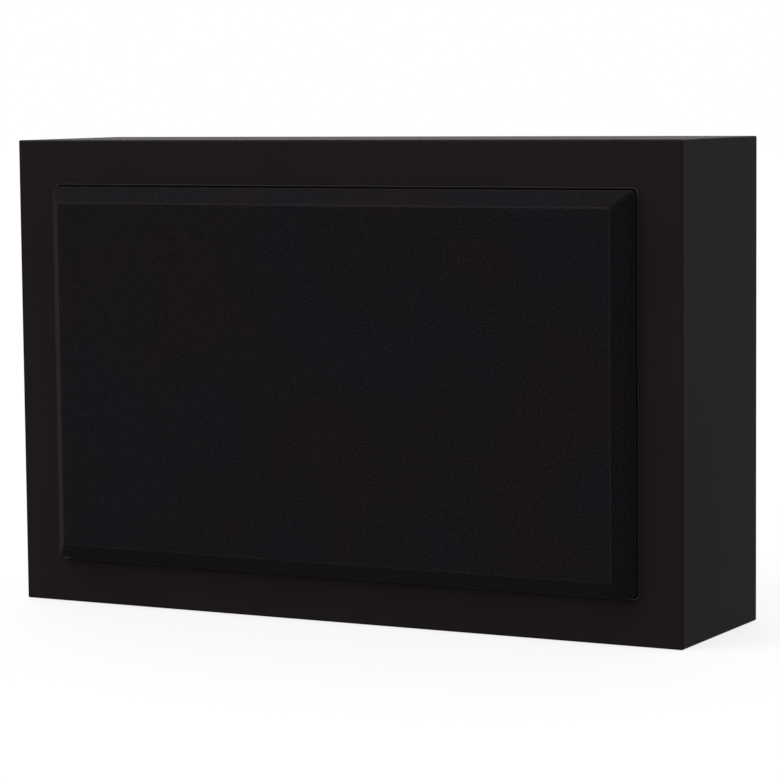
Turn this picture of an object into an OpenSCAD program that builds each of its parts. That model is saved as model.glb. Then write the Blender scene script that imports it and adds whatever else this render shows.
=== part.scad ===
/* [Cabinet] */
// Width of the cabinet
body_w = 500; // [486:1:600]
// Height of the cabinet
body_h = 322; // [316:1:400]
// Depth of the cabinet from its rear rim to its front face
body_d = 126; // [120:1:160]
// Thickness of the side, top and bottom boards
board_t = 16; // [12:0.5:20]
// Thickness of the front board
front_t = 22; // [20:0.5:28]
// Rounding of the outer edges
edge_r = 1.5; // [0.5:0.25:4]
// Width of the front board's border round the grille
border_w = 31; // [22:0.5:32]
// Corner rounding of the opening in the front board
opening_r = 3; // [2:0.5:8]
// Width of the eased edge round the opening
opening_edge = 0.6; // [0.3:0.1:1]
// Depth of the opening in front of the baffle board
lip_t = 6; // [4:0.5:9]
// How far the baffle board reaches behind the lip, on each side
lip_w = 8; // [5:0.5:12]

/* [Rear recess] */
// Depth of the recess behind the back panel
recess_d = 28; // [24:0.5:31]
// Thickness of the back panel
panel_t = 12; // [9:0.5:14]
// How deep the boards are rebated for the back panel
rebate = 6; // [4:0.5:8]
// Width of the cable notch in the bottom rim
notch_w = 44; // [30:1:70]
// Depth of the cable notch, in from the rear rim
notch_d = 18; // [12:0.5:24]
// Corner rounding of the cable notch
notch_r = 5; // [2:0.5:8]
// Diameter of the rubber bumpers on the rear rim
bumper_d = 8; // [5:0.5:9]
// How far the bumpers stand off the rear rim
bumper_t = 2; // [1:0.25:4]
// Distance of the bumpers from the cabinet's sides
bumper_inset = 40; // [15:1:80]

/* [Wall hangers] */
// Distance of the keyholes from the cabinet's sides
hanger_inset = 50; // [45:1:80]
// Height of the cabinet's top above the keyholes
hanger_drop = 42; // [38:1:60]
// Width of the hanger blocks
block_w = 60; // [50:1:70]
// Width of the keyhole plates
hook_w = 50; // [44:1:56]
// Height of the keyhole plates
hook_h = 34; // [30:1:40]
// Thickness of the keyhole plates
hook_t = 2; // [1.5:0.25:3]
// Diameter of the keyhole's round entry
keyhole_d = 10; // [9:0.25:12]
// Width of the keyhole's slot
keyslot_w = 5.5; // [4.5:0.25:6]
// Rise of the keyhole's slot above its entry
keyslot_rise = 10; // [8:0.5:11]
// Depth of the pocket for the wall screw's head
pocket_d = 12; // [8:0.5:16]

/* [Grille] */
// How far the grille stands out of the front face
grille_proud = 17; // [12:0.5:20]
// Height of the grille's straight side above the front face
grille_side = 6.3; // [4:0.1:8]
// Width of the grille's bevel
bevel_w = 10.5; // [6:0.5:13]
// Gap between the grille and the edge of the opening
grille_gap = 1; // [0.5:0.1:2]
// Thickness of the stretched cloth
cloth_t = 0.8; // [0.5:0.1:1.2]
// Width of the cloth's hem on the back of the grille frame
hem_w = 12; // [8:0.5:15]
// Width of the grille frame's bars
bar_w = 17; // [15:0.5:18]
// Width of the grille frame's middle rib
rib_w = 8; // [5:0.5:12]
// How far the middle rib lies behind the cloth
rib_drop = 6; // [3:0.5:9]
// Diameter of the pegs
peg_d = 6; // [5:0.25:7]
// Length of the pegs behind the grille frame
peg_len = 8; // [6:0.5:10]
// Outer diameter of the peg cups
cup_d = 11; // [10:0.5:13]

/* [Driver frame] */
// Outer diameter of the driver's flange
flange_d = 216; // [208:1:220]
// Thickness of the flange
flange_t = 4; // [3.5:0.25:5]
// Gap from the flange to the inside of the grille frame
driver_margin = 2.2; // [1:0.1:6]
// Thickness of the foam seal under the flange
seal_t = 1; // [0.8:0.1:1.5]
// Depth of the driver from its flange to its back plate
driver_depth = 72; // [66:1:76]
// Outer diameter of the basket under its flange
basket_d = 184; // [176:1:190]
// Thickness of the basket's wall
basket_t = 2.5; // [2:0.25:3.5]
// Outer diameter of the basket's neck above the magnet
neck_d = 117; // [108:1:120]
// Width of the ledge that the spider is glued to
ledge_w = 10; // [8:0.5:12]
// Height of the spider ledge above the top plate
spider_rise = 15; // [12:0.5:18]
// Number of spokes and windows
spokes = 8; // [6:1:10]
// Angle that each spoke covers
spoke_angle = 14; // [10:1:20]
// Number of flange screws
flange_screws = 8; // [4:1:10]
// Diameter of the flange screws
flange_screw_d = 4.8; // [4:0.1:5.2]

/* [Cone and motor] */
// Diameter of the cone's outer rim
cone_d = 160; // [150:1:164]
// Thickness of the cone
cone_t = 1.2; // [0.8:0.1:2]
// Thickness of the rubber surround
surround_t = 1; // [0.8:0.1:1.4]
// Diameter of the dust cap
cap_d = 64; // [50:1:80]
// Height of the dust cap's dome
cap_h = 10; // [6:0.5:14]
// Diameter of the voice coil former, outside
former_d = 38.2; // [32:0.2:42]
// Wall of the voice coil former
former_t = 0.5; // [0.3:0.1:0.6]
// Height of the voice coil's winding
coil_h = 12; // [9:0.5:13]
// Thickness of the voice coil's winding
coil_t = 1; // [0.6:0.1:1.2]
// Running gap each side of the coil
coil_gap = 0.6; // [0.4:0.05:0.8]
// Diameter of the magnet
magnet_d = 114; // [106:1:118]
// Diameter of the hole in the magnet
magnet_hole_d = 60; // [52:1:70]
// Thickness of the magnet
magnet_t = 13; // [12:0.5:15]
// Diameter of the steel plates
plate_d = 100; // [90:1:104]
// Thickness of the steel plates
plate_t = 6; // [5:0.5:7]
// Diameter of the vent through the pole piece
vent_d = 12; // [8:0.5:16]
// Number of waves in the spider
spider_waves = 5; // [3:1:6]
// Height of the spider's waves
spider_wave_h = 1.6; // [1:0.1:2]

/* [Amplifier plate] */
// Width of the amplifier plate
amp_w = 176; // [168:1:184]
// Height of the amplifier plate
amp_h = 236; // [230:1:246]
// Thickness of the amplifier plate
amp_t = 2.5; // [2:0.25:3]
// Distance from the amplifier plate to the side of the rear recess
amp_margin = 13; // [8:0.5:18]
// Gap between the hanger block and the top of the amplifier plate
amp_drop = 3; // [1:0.5:6]
// How far the plate overlaps the back panel round its cut-out
amp_overlap = 10; // [9:0.5:12]
// Thickness of the seal behind the amplifier plate
amp_seal_t = 1; // [0.8:0.1:1.5]
// Height inside the plug bay
bay_h = 70; // [64:1:76]
// Depth inside the plug bay, in from the plate
bay_d = 42; // [36:1:46]
// Wall of the plug bay
bay_t = 1.5; // [1:0.25:2]
// Diameter of the amplifier plate's screws
amp_screw_d = 3.2; // [2.8:0.1:3.6]
// Width of the heat sink
sink_w = 76; // [60:1:80]
// Height of the heat sink
sink_h = 72; // [60:1:76]
// Thickness of the heat sink's base
sink_base = 4; // [3:0.5:5]
// Height of the heat sink's fins
fin_h = 14; // [10:0.5:16]
// Thickness of the heat sink's fins
fin_t = 1.8; // [1.2:0.1:2.4]
// Number of fins
fins = 11; // [8:1:13]

/* [Controls] */
// Height of the row of controls above the plug bay's roof
control_rise = 42.5; // [39.5:0.5:45.5]
// Diameter of the knobs
knob_d = 19; // [16:0.5:22]
// Height of the knobs
knob_h = 13; // [11:0.5:16]
// Diameter of the knobs' shafts
shaft_d = 6; // [5:0.25:6.4]
// Diameter of the threaded bush on each control
bush_d = 9; // [8.5:0.25:10]
// Width of the levers of the two slide switches
lever_w = 4; // [3:0.25:5]
// Travel of the two slide switches
lever_travel = 4; // [3:0.25:5]
// Width of the mains rocker
rocker_w = 11; // [9:0.5:12]
// Height of the mains rocker
rocker_h = 16.4; // [14:0.2:18]
// Tilt of the mains rocker to each side
rocker_tilt = 8; // [5:0.5:9]

/* [Sockets] */
// Outer diameter of the audio sockets' shells
shell_d = 8.3; // [8:0.1:8.6]
// Length of the audio sockets' shells
shell_len = 9; // [8:0.25:11]
// Diameter of the audio sockets' centre holes
contact_d = 3.3; // [3:0.1:3.6]
// Distance between the two audio sockets
audio_pitch = 20; // [16:0.5:24]
// Width of the mains inlet's hollow
inlet_w = 24.4; // [24:0.2:25]
// Height of the mains inlet's hollow, front to back of the cabinet
inlet_h = 16.4; // [16:0.2:17]
// Depth of the mains inlet's hollow
inlet_d = 16; // [14:0.5:18]

/* [Inside] */
// Thickness of the brace
brace_t = 12; // [9:0.5:15]
// Distance from the driver's flange to the middle of the brace
brace_gap = 20; // [17:0.5:24]
// Height of the window in the brace
brace_window_h = 150; // [110:1:200]
// Width of the window in the brace
brace_window_w = 40; // [30:1:44]
// Thickness of the circuit boards
pcb_t = 1.6; // [1:0.1:2]
// Height of the circuit boards above the amplifier plate
pcb_rise = 8.5; // [8:0.25:10]
// Diameter of the transformer
transformer_d = 68; // [56:1:70]
// Height of the transformer
transformer_h = 32; // [24:1:40]
// Diameter of the hole through the transformer
transformer_hole_d = 22; // [18:1:28]
// Diameter of the reservoir capacitors
capacitor_d = 22; // [16:1:25]
// Height of the reservoir capacitors
capacitor_h = 34; // [25:1:40]
// Thickness of the wadding
wadding_t = 44; // [24:1:46]
// Diameter of the leads to the driver
lead_d = 3; // [2:0.25:3.5]

/* [Hidden] */
$fn = 72;

// Overrun of cuts past a face
over = 1;
// Clearances: a pushed-in seat, a running fit, a soft or loose seat, and a hole round a screw
seat_gap = 0.05;
fit = 0.08;
rest_gap = 0.3;
screw_gap = 0.3;

// Heights, with the keyholes at zero
top_z = hanger_drop;
bottom_z = hanger_drop - body_h;
mid_z = hanger_drop - body_h / 2;
block_foot_z = -hook_h / 2;

// Keyhole plates, their countersunk screws and the pockets behind them
hanger_spacing = body_w - 2 * hanger_inset;
hook_drop = 4;
hook_round = 3;
hook_screw_inset = 7;
hook_screw_r = 1.5;
hook_head_r = 3.2;
hook_screw_len = 15;
hook_slot_w = 0.8;
head_sunk = 0.1;
pocket_gap = 1.5;

// Planes across the cabinet, each measured forward from the rear rim
baffle_front = body_d - lip_t;
baffle_back = body_d - front_t;
panel_front = recess_d + panel_t;

// Widths and heights of the hollows, from the front to the rear
opening_w = body_w - 2 * border_w;
opening_h = body_h - 2 * border_w;
cavity_w = body_w - 2 * board_t;
cavity_h = body_h - 2 * board_t;
rim_t = board_t - rebate;
recess_w = body_w - 2 * rim_t;
recess_h = body_h - 2 * rim_t;

// Grille: the cloth's outside and the frame inside it
cloth_w = opening_w - 2 * grille_gap;
cloth_h = opening_h - 2 * grille_gap;
cloth_back = baffle_front + rest_gap;
cloth_front = body_d + grille_proud;
cloth_shoulder = body_d + grille_side;
grille_w = cloth_w - 2 * cloth_t;
grille_h = cloth_h - 2 * cloth_t;
window_w = grille_w - 2 * bar_w;
window_h = grille_h - 2 * bar_w;
window_round = 6;
peg_x = grille_w / 2 - bar_w / 2;
peg_z = grille_h / 2 - bar_w / 2;
peg_set = 7;
cup_len = peg_len + 2;
cup_collar_d = cup_d + 3;
cup_collar_t = 1.2;
cup_floor_t = 1;

// Driver: its centre and its planes, measured forward from the rear rim
flange_r = flange_d / 2;
driver_x = -(window_w / 2 - flange_r - driver_margin);
flange_front = baffle_front;
flange_back = flange_front - flange_t;
seat = flange_back - seal_t;
back_plate_back = flange_front - driver_depth;
back_plate_front = back_plate_back + plate_t;
top_plate_back = back_plate_front + magnet_t;
top_plate_front = top_plate_back + plate_t;
ledge_front = top_plate_front + spider_rise;
basket_r = basket_d / 2;
neck_r = neck_d / 2;
ledge_r = neck_r - basket_t + ledge_w;
lip_recess = 1.5;
lip_front = flange_front - lip_recess;
lip_r = flange_r - 9;
screw_circle_r = flange_r - 4.5;
screw_head_r = flange_screw_d / 2 + 1.6;
screw_head_h = 2.4;
screw_socket_d = 3.4;
basket_gap = 1;
flange_gap = 0.5;
web_t = 3;

// Tag board on a pad of the spoke that faces the amplifier, clear of that spoke's web
wall_rise = (flange_back - ledge_front + basket_t) / (basket_r - ledge_r - 2);
terminal_f = (ledge_front + flange_back) / 2 - 4;
terminal_r = ledge_r + 2 + (terminal_f - ledge_front + basket_t) / wall_rise + 6.5;
tag_pad_w = 9;
tag_pad_h = 7;
tag_board_w = 9;
tag_board_len = 28;
tag_board_t = 1.6;
tag_spread = 9;
tag_len = 8;
tag_w = 6.3;
tag_t = 0.8;
rivet_spread = 2.5;
rivet_r = 1.2;

// Cone and motor
rim_front = lip_front - rest_gap;
rim_r = cone_d / 2;
rim_land = 4;
former_r = former_d / 2;
collar_h = 4;
neck_front = ledge_front + collar_h + 2;
pole_r = former_r - former_t - coil_gap * 0.7;
gap_r = former_r + coil_t + coil_gap;
coil_mid = (top_plate_back + top_plate_front) / 2;
former_back = coil_mid - coil_h / 2 - 1;
cap_t = 0.8;
spider_t = 0.7;
land_w = 5;

// Amplifier plate: its place and its planes
amp_x = recess_w / 2 - amp_margin - amp_w / 2;
amp_z = block_foot_z - amp_drop - amp_h / 2;
amp_front = recess_d - amp_seal_t;
amp_back = amp_front - amp_t;
cutout_w = amp_w - 2 * amp_overlap;
cutout_h = amp_h - 2 * amp_overlap;
cutout_gap = 1;
bay_w = cutout_w - 2 * cutout_gap - 2 * bay_t;
bay_bottom_z = amp_z - cutout_h / 2 + cutout_gap + bay_t;
bay_top_z = bay_bottom_z + bay_h;
bay_front = amp_back + bay_d;
socket_f = amp_back + bay_d / 2;
amp_screw_x = amp_w / 2 - amp_overlap / 2;
amp_screw_z = amp_h / 2 - amp_overlap / 2;
amp_screw_end = recess_d + 10;
amp_hole_r = amp_screw_d / 2 + 0.4;
amp_head_h = 2.2;
amp_round = 4;

// Controls in a row, placed across from the amplifier plate's centre
control_z = bay_top_z + control_rise;
level_x = amp_x - 50;
crossover_x = amp_x - 20;
phase_x = amp_x + 8;
mode_x = amp_x + 26;
light_x = amp_x + 41;
rocker_x = amp_x + 60;
pcb_back = amp_front + pcb_rise;
pcb_front = pcb_back + pcb_t;
knob_front = amp_back - 1;
knob_back = knob_front - knob_h;
nut_t = 2;
bush_back = amp_back - nut_t - 0.5;
knob_relief_t = knob_front - bush_back + 1;
knob_step = 0.8;
knob_skirt = 3;
control_body_w = 16;
lever_gap = 0.3;
light_r = 1.5;

// Mains switch, and the pins that its rocker tips on
switch_w = rocker_w + 2.4;
switch_h = rocker_h + 3.4;
switch_d = 18;
switch_edge = 1.5;
rocker_f = amp_back + 1;
rocker_pin_r = 1.2;

// Sockets in the roof of the plug bay
inlet_x = amp_x + cutout_w / 2 - 36;
inlet_wall = 1.4;
inlet_body_h = 22;
inlet_flange_t = 3;
inlet_pin_w = 4;
inlet_pin_t = 2;
inlet_pin_len = 26;
inlet_pin_places = [[-7, -2], [7, -2], [0, 2.5]];
audio_xs = [amp_x - cutout_w / 2 + 24, amp_x - cutout_w / 2 + 24 + audio_pitch];
audio_body_w = 14;
audio_body_h = 9;
socket_neck_r = 4.9;
shell_t = 0.85;

// Boards and power parts, placed from the amplifier plate's centre
control_board_w = 120;
control_board_h = 34;
control_board_x = amp_x - 73;
control_board_z = control_z - control_board_h / 2 + 2;
power_board_x = amp_x + 3;
power_board_w = cutout_w / 2 - 5;
power_board_z = control_z + 26;
power_board_h = amp_z + cutout_h / 2 - 3 - power_board_z;
sink_x = power_board_x + power_board_w / 2;
sink_z = power_board_z + power_board_h / 2;
transformer_x = amp_x - cutout_w / 2 + 4 + transformer_d / 2;
transformer_z = amp_z + cutout_h / 2 - 3 - transformer_d / 2;
transformer_round = 7;
pad_t = 2;
bolt_r = 2.5;
bolt_head_r = 4.6;
bolt_head_h = 3.2;
bolt_nut_h = 4;
bolt_end = 7;
dish_back = amp_front + 2 * pad_t + transformer_h;
dish_r = transformer_hole_d / 2 + 13;
dish_t = 1.5;
standoff_r = 3;
standoff_hole_r = 1.3;
standoff_inset = 4;

// Power devices between the power board's lower standoffs
device_w = 14;
device_h = 20;
device_t = 4.5;
device_rise = 18;
device_inset = 14;
device_pitch = (power_board_w - 2 * device_inset) / 3;
leg_pitch = 4;
leg_len = 5;
leg_w = 1;
leg_back = amp_front + 2;

// Brace between the driver and the amplifier, and the middle of its window
brace_x = driver_x + flange_r + brace_gap;
brace_f = (baffle_back + panel_front) / 2;
wadding_round = 8;

// Leads: where they leave the board, and how far apart they run
lead_x = control_board_x + 9;
lead_rise = 30;
lead_spread = 3;
lead_window_spread = 5;

// Extrudes an outline drawn in X and Z, from back to front
module slab(back, front) {
    translate([0, -back, 0])
        rotate([90, 0, 0])
            linear_extrude(front - back) children();
}

// Turns a profile of radius and forward distance about the front-to-back axis
module turned(angle = 360) {
    rotate([90, 0, 0])
        rotate_extrude(angle = angle) children();
}

// A round bar along the front-to-back axis
module rod(r, back, front) {
    translate([0, -back, 0])
        rotate([90, 0, 0])
            cylinder(r = r, h = front - back);
}

// A ring along the front-to-back axis
module tube(r, hole, back, front) {
    difference() {
        rod(r, back, front);
        rod(hole, back - over, front + over);
    }
}

// A block centred in X and Z, from back to front
module block(w, h, back, front) {
    slab(back, front) square([w, h], center = true);
}

// A rectangle with round corners
module rounded(w, h, r) {
    square([w - 2 * r, h], center = true);
    square([w, h - 2 * r], center = true);
    for (x = [-1, 1], y = [-1, 1])
        translate([x * (w / 2 - r), y * (h / 2 - r)]) circle(r);
}

// Copies set evenly round the front-to-back axis
module around(count, start = 0) {
    for (i = [0:count - 1])
        rotate([0, -start - i * 360 / count, 0]) children();
}

// Puts a piece at a place on the cabinet's face
module at(x, z) {
    translate([x, 0, z]) children();
}

// The cabinet's outer block with every edge rounded
module rounded_body() {
    intersection() {
        at(0, mid_z) slab(0, body_d) rounded(body_w, body_h, edge_r);
        translate([-body_w, 0, 0]) rotate([90, 0, 90]) linear_extrude(2 * body_w)
            translate([-body_d / 2, mid_z]) rounded(body_d, body_h, edge_r);
        translate([0, 0, bottom_z - over]) linear_extrude(body_h + 2 * over)
            translate([0, -body_d / 2]) rounded(body_w, body_d, edge_r);
    }
}

// Cut that eases the opening's front edge at 45 degrees on all four sides
module eased_edge() {
    grow = opening_edge + over;
    intersection() {
        slab(body_d - opening_edge, body_d + over)
            rounded(opening_w + 2 * opening_edge, opening_h + 2 * opening_edge, opening_r + opening_edge);
        translate([-body_w, 0, 0]) rotate([90, 0, 90]) linear_extrude(2 * body_w)
            polygon([
                [opening_edge - body_d, -opening_h / 2], [-body_d - over, -opening_h / 2 - grow],
                [-body_d - over, opening_h / 2 + grow], [opening_edge - body_d, opening_h / 2]
            ]);
        translate([0, 0, -body_h]) linear_extrude(2 * body_h)
            polygon([
                [-opening_w / 2, opening_edge - body_d], [-opening_w / 2 - grow, -body_d - over],
                [opening_w / 2 + grow, -body_d - over], [opening_w / 2, opening_edge - body_d]
            ]);
    }
}

// Notch in the rim of the bottom board, open to the rear
module cable_notch() {
    translate([amp_x, -notch_d / 2, bottom_z - over])
        linear_extrude(rim_t + 2 * over)
            union() {
                rounded(notch_w, notch_d, notch_r);
                translate([0, notch_d / 2]) square([notch_w, notch_d], center = true);
            }
}

module cabinet() color("#201d1d") difference() {
    rounded_body();
    at(0, mid_z) {
        slab(baffle_front - over, body_d + over) rounded(opening_w, opening_h, opening_r);
        eased_edge();
        block(opening_w + 2 * lip_w, opening_h + 2 * lip_w, baffle_back - over, baffle_front);
        block(cavity_w, cavity_h, panel_front - over, baffle_back);
        block(recess_w, recess_h, -over, panel_front);
    }
    cable_notch();
}

module baffle() color("#1c1b1b") difference() {
    at(0, mid_z) block(opening_w + 2 * lip_w, opening_h + 2 * lip_w, baffle_back, baffle_front);
    at(driver_x, mid_z) {
        rod(basket_r + basket_gap, baffle_back - over, baffle_front + over);
        rod(flange_r + flange_gap, seat, baffle_front + over);
        flange_screw_places() rod(flange_screw_d / 2 + seat_gap, baffle_back - over, seat + over);
    }
    grille_corners() {
        rod(cup_d / 2 + seat_gap, baffle_front - cup_len, baffle_front + over);
        rod(cup_collar_d / 2 + seat_gap, baffle_front - cup_collar_t, baffle_front + over);
    }
}

// The places of the flange screws, midway between the spokes
module flange_screw_places() {
    around(flange_screws, 360 / flange_screws / 2)
        translate([screw_circle_r, 0, 0]) children();
}

// The four corners of the grille frame where its pegs are
module grille_corners() {
    for (x = [-1, 1], z = [-1, 1])
        at(x * peg_x, mid_z + z * peg_z) children();
}

module back_panel() color("#1c1b1b") difference() {
    at(0, mid_z) block(recess_w, recess_h, recess_d, panel_front);
    at(amp_x, amp_z) {
        block(cutout_w, cutout_h, recess_d - over, panel_front + over);
        amp_screw_places() rod(amp_screw_d / 2 + seat_gap, recess_d - over, amp_screw_end + 0.5);
    }
}

// Board between the baffle and the back panel, with a rounded window for air and leads
module brace() color("#8a6f52")
    translate([brace_x - brace_t / 2, 0, 0])
        rotate([90, 0, 90])
            linear_extrude(brace_t)
                difference() {
                    translate([-baffle_back, mid_z - cavity_h / 2])
                        square([baffle_back - panel_front, cavity_h]);
                    translate([-brace_f, mid_z])
                        rounded(brace_window_w, brace_window_h, brace_window_w / 2 - 0.01);
                }

module damping_wadding() color("#e6e4df")
    at(-cavity_w / 2 + rest_gap + wadding_t / 2, mid_z)
        slab(panel_front + rest_gap, baffle_back - rest_gap)
            rounded(wadding_t, cavity_h - 2 * rest_gap, wadding_round);

// A wooden block in the top corner of the recess, with a pocket for the wall screw's head
module hanger_block(side) color("#1c1b1b") difference() {
    block_h = top_z - rim_t - block_foot_z;
    at(side * hanger_spacing / 2, top_z - rim_t - block_h / 2)
        block(block_w, block_h, hook_t, recess_d);
    at(side * hanger_spacing / 2, 0) {
        slab(hook_t - over, hook_t + pocket_d)
            keyhole(keyhole_d + 2 * pocket_gap, keyhole_d + 2 * pocket_gap);
        hook_screw_places() rod(hook_screw_r + seat_gap, hook_t - over, hook_screw_len + 1.5);
    }
}

// Outline of a round entry with a slot rising from it
module keyhole(entry, slot) {
    circle(d = entry);
    translate([0, keyslot_rise]) circle(d = slot);
    translate([-slot / 2, 0]) square([slot, keyslot_rise]);
}

// The two screw places of one keyhole plate
module hook_screw_places() {
    for (x = [-1, 1])
        at(x * (hook_w / 2 - hook_screw_inset), hook_drop) children();
}

module hanger_plate(side) color("#b9bcc0") at(side * hanger_spacing / 2, 0) difference() {
    at(0, hook_drop) slab(0, hook_t) rounded(hook_w, hook_h, hook_round);
    slab(-over, hook_t + over) keyhole(keyhole_d, keyslot_w);
    hook_screw_places() {
        rod(hook_screw_r + screw_gap, -over, hook_t + over);
        turned() polygon([
            [0, -0.01], [hook_head_r + screw_gap, -0.01],
            [hook_screw_r + screw_gap, hook_head_r - hook_screw_r], [0, hook_head_r - hook_screw_r]
        ]);
    }
}

module hanger_screws() color("#b9bcc0")
    for (side = [-1, 1])
        at(side * hanger_spacing / 2, 0)
            hook_screw_places()
                turned() difference() {
                    polygon([
                        [0, head_sunk], [hook_head_r, head_sunk],
                        [hook_screw_r, head_sunk + hook_head_r - hook_screw_r],
                        [hook_screw_r, hook_screw_len - 2], [0, hook_screw_len]
                    ]);
                    translate([-hook_slot_w / 2, 0]) square([hook_slot_w, head_sunk + 0.8]);
                }

module wall_bumpers() color("#141414")
    for (x = [-1, 1], z = [bottom_z + rim_t / 2, top_z - rim_t / 2])
        at(x * (body_w / 2 - bumper_inset), z)
            turned() polygon([
                [0, 0], [bumper_d / 2, 0], [bumper_d / 2, -bumper_t / 2],
                [bumper_d / 2 - bumper_t / 2, -bumper_t], [0, -bumper_t]
            ]);

// A raised field: straight sides to the shoulder, then a bevel on all four sides to a flat front
module raised_field(w, h, r, back, shoulder, front) {
    intersection() {
        slab(back, front) rounded(w, h, r);
        translate([-w, 0, 0]) rotate([90, 0, 90]) linear_extrude(2 * w)
            polygon([
                [-back + over, -h / 2 - over], [-shoulder + over, -h / 2 - over],
                [-shoulder, -h / 2], [-front, -h / 2 + bevel_w], [-front, h / 2 - bevel_w],
                [-shoulder, h / 2], [-shoulder + over, h / 2 + over], [-back + over, h / 2 + over]
            ]);
        translate([0, 0, -h]) linear_extrude(2 * h)
            polygon([
                [-w / 2 - over, -back + over], [-w / 2 - over, -shoulder + over],
                [-w / 2, -shoulder], [-w / 2 + bevel_w, -front], [w / 2 - bevel_w, -front],
                [w / 2, -shoulder], [w / 2 + over, -shoulder + over], [w / 2 + over, -back + over]
            ]);
    }
}

module grille_frame() color("#171718") at(0, mid_z) difference() {
    raised_field(grille_w, grille_h, opening_r - grille_gap - cloth_t + 1,
        cloth_back + cloth_t, cloth_shoulder - cloth_t, cloth_front - cloth_t);
    difference() {
        slab(cloth_back - over, cloth_front + over) rounded(window_w, window_h, window_round);
        at(driver_x + flange_r + driver_margin + rib_w / 2 + 3, 0)
            block(rib_w, window_h + 2 * over, cloth_back + cloth_t, cloth_front - cloth_t - rib_drop);
    }
    for (x = [-1, 1], z = [-1, 1])
        at(x * peg_x, z * peg_z) rod(peg_d / 2 + seat_gap, cloth_back - over, cloth_back + cloth_t + peg_set);
}

// Cloth drawn over the frame and turned in behind it as a hem
module grille_cloth() color("#18161a") at(0, mid_z) difference() {
    raised_field(cloth_w, cloth_h, opening_r - grille_gap + 1,
        cloth_back, cloth_shoulder, cloth_front);
    raised_field(grille_w, grille_h, opening_r - grille_gap - cloth_t + 1,
        cloth_back + cloth_t, cloth_shoulder - cloth_t, cloth_front - cloth_t);
    slab(cloth_back - over, cloth_back + cloth_t + over)
        rounded(cloth_w - 2 * hem_w, cloth_h - 2 * hem_w, 4);
    for (x = [-1, 1], z = [-1, 1])
        at(x * peg_x, z * peg_z) rod(peg_d / 2 + seat_gap, cloth_back - over, cloth_back + cloth_t + over);
}

module grille_pegs() color("#1b1b1c") grille_corners()
    turned() polygon([
        [0, cloth_back - peg_len], [peg_d / 2 - 1.5, cloth_back - peg_len],
        [peg_d / 2, cloth_back - peg_len + 2], [peg_d / 2, cloth_back + cloth_t + peg_set],
        [0, cloth_back + cloth_t + peg_set]
    ]);

module grille_cups() color("#1b1b1c") grille_corners() difference() {
    union() {
        rod(cup_d / 2, baffle_front - cup_len, baffle_front);
        rod(cup_collar_d / 2, baffle_front - cup_collar_t, baffle_front);
    }
    rod(peg_d / 2 + fit, baffle_front - cup_len + cup_floor_t, baffle_front + over);
}

// Half-section of the basket: flange, sloping wall, spider ledge, neck and foot
module basket_section() {
    polygon([
        [flange_r, flange_front], [flange_r, flange_back], [basket_r, flange_back],
        [ledge_r + 2, ledge_front - basket_t], [neck_r, ledge_front - basket_t],
        [neck_r, top_plate_front], [gap_r + 6, top_plate_front],
        [gap_r + 6, top_plate_front + basket_t], [neck_r - basket_t, top_plate_front + basket_t],
        [neck_r - basket_t, ledge_front], [ledge_r, ledge_front],
        [basket_r - basket_t, flange_back], [basket_r - basket_t, lip_front],
        [lip_r, lip_front], [lip_r, flange_front]
    ]);
}

// Stiffening web on the back of a spoke, from the neck's foot to the sloping wall
module spoke_web() {
    web_r = basket_r - 3;
    web_front = ledge_front - basket_t + (web_r - ledge_r - 2) * wall_rise;
    translate([0, 0, -web_t / 2])
        linear_extrude(web_t)
            mirror([0, 1])
                polygon([
                    [neck_r - 0.5, top_plate_front + 0.6], [neck_r + 1, top_plate_front + 0.6],
                    [ledge_r + 5, ledge_front - basket_t], [web_r, web_front - 3],
                    [web_r, web_front + 0.5], [ledge_r + 2, ledge_front - basket_t + 0.5],
                    [neck_r - 0.5, ledge_front - basket_t + 0.5]
                ]);
}

module driver_basket() color("#26272a") at(driver_x, mid_z) difference() {
    union() {
        turned() basket_section();
        around(spokes) spoke_web();
        translate([terminal_r - 8, 0, 0])
            block(16, tag_pad_w, terminal_f - tag_pad_h / 2, terminal_f + tag_pad_h / 2);
    }
    rod(ledge_r - 1, ledge_front, ledge_front + over);
    inner_space();
    around(spokes, spoke_angle / 2)
        turned(360 / spokes - spoke_angle) polygon([
            [ledge_r + 1.5, ledge_front + 3], [flange_r, ledge_front + 3],
            [flange_r, flange_back - 3], [ledge_r + 1.5, flange_back - 3]
        ]);
    around(spokes, spoke_angle)
        turned(360 / spokes - 2 * spoke_angle) translate([neck_r - 5, top_plate_front + basket_t + 2])
            square([8, spider_rise - 2 * basket_t - 4]);
    flange_screw_places() rod(flange_screw_d / 2 + screw_gap, flange_back - over, flange_front + over);
    terminal_rivets() rod(rivet_r, -6, 3);
}

// Room inside the basket that the cone moves in
module inner_space() {
    turned() polygon([
        [0, ledge_front], [ledge_r, ledge_front], [basket_r - basket_t, flange_back],
        [basket_r - basket_t, flange_front + over], [0, flange_front + over]
    ]);
}

// Two rivet places on the pad, each along the driver's radius
module terminal_rivets() {
    for (z = [-rivet_spread, rivet_spread])
        translate([terminal_r, -terminal_f, z]) rotate([0, 0, 90]) children();
}

module driver_terminals() color("#c9a45a") at(driver_x, mid_z) {
    translate([terminal_r, -terminal_f - tag_board_w / 2, -tag_board_len / 2])
        cube([tag_board_t, tag_board_w, tag_board_len]);
    for (z = [-tag_spread, tag_spread])
        translate([terminal_r + tag_board_t, -terminal_f - tag_t / 2, z - tag_w / 2])
            cube([tag_len, tag_t, tag_w]);
}

module driver_seal() color("#101010") at(driver_x, mid_z) difference() {
    tube(flange_r, basket_r + basket_gap, seat, flange_back);
    flange_screw_places() rod(flange_screw_d / 2 + screw_gap, seat - over, flange_back + over);
}

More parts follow.
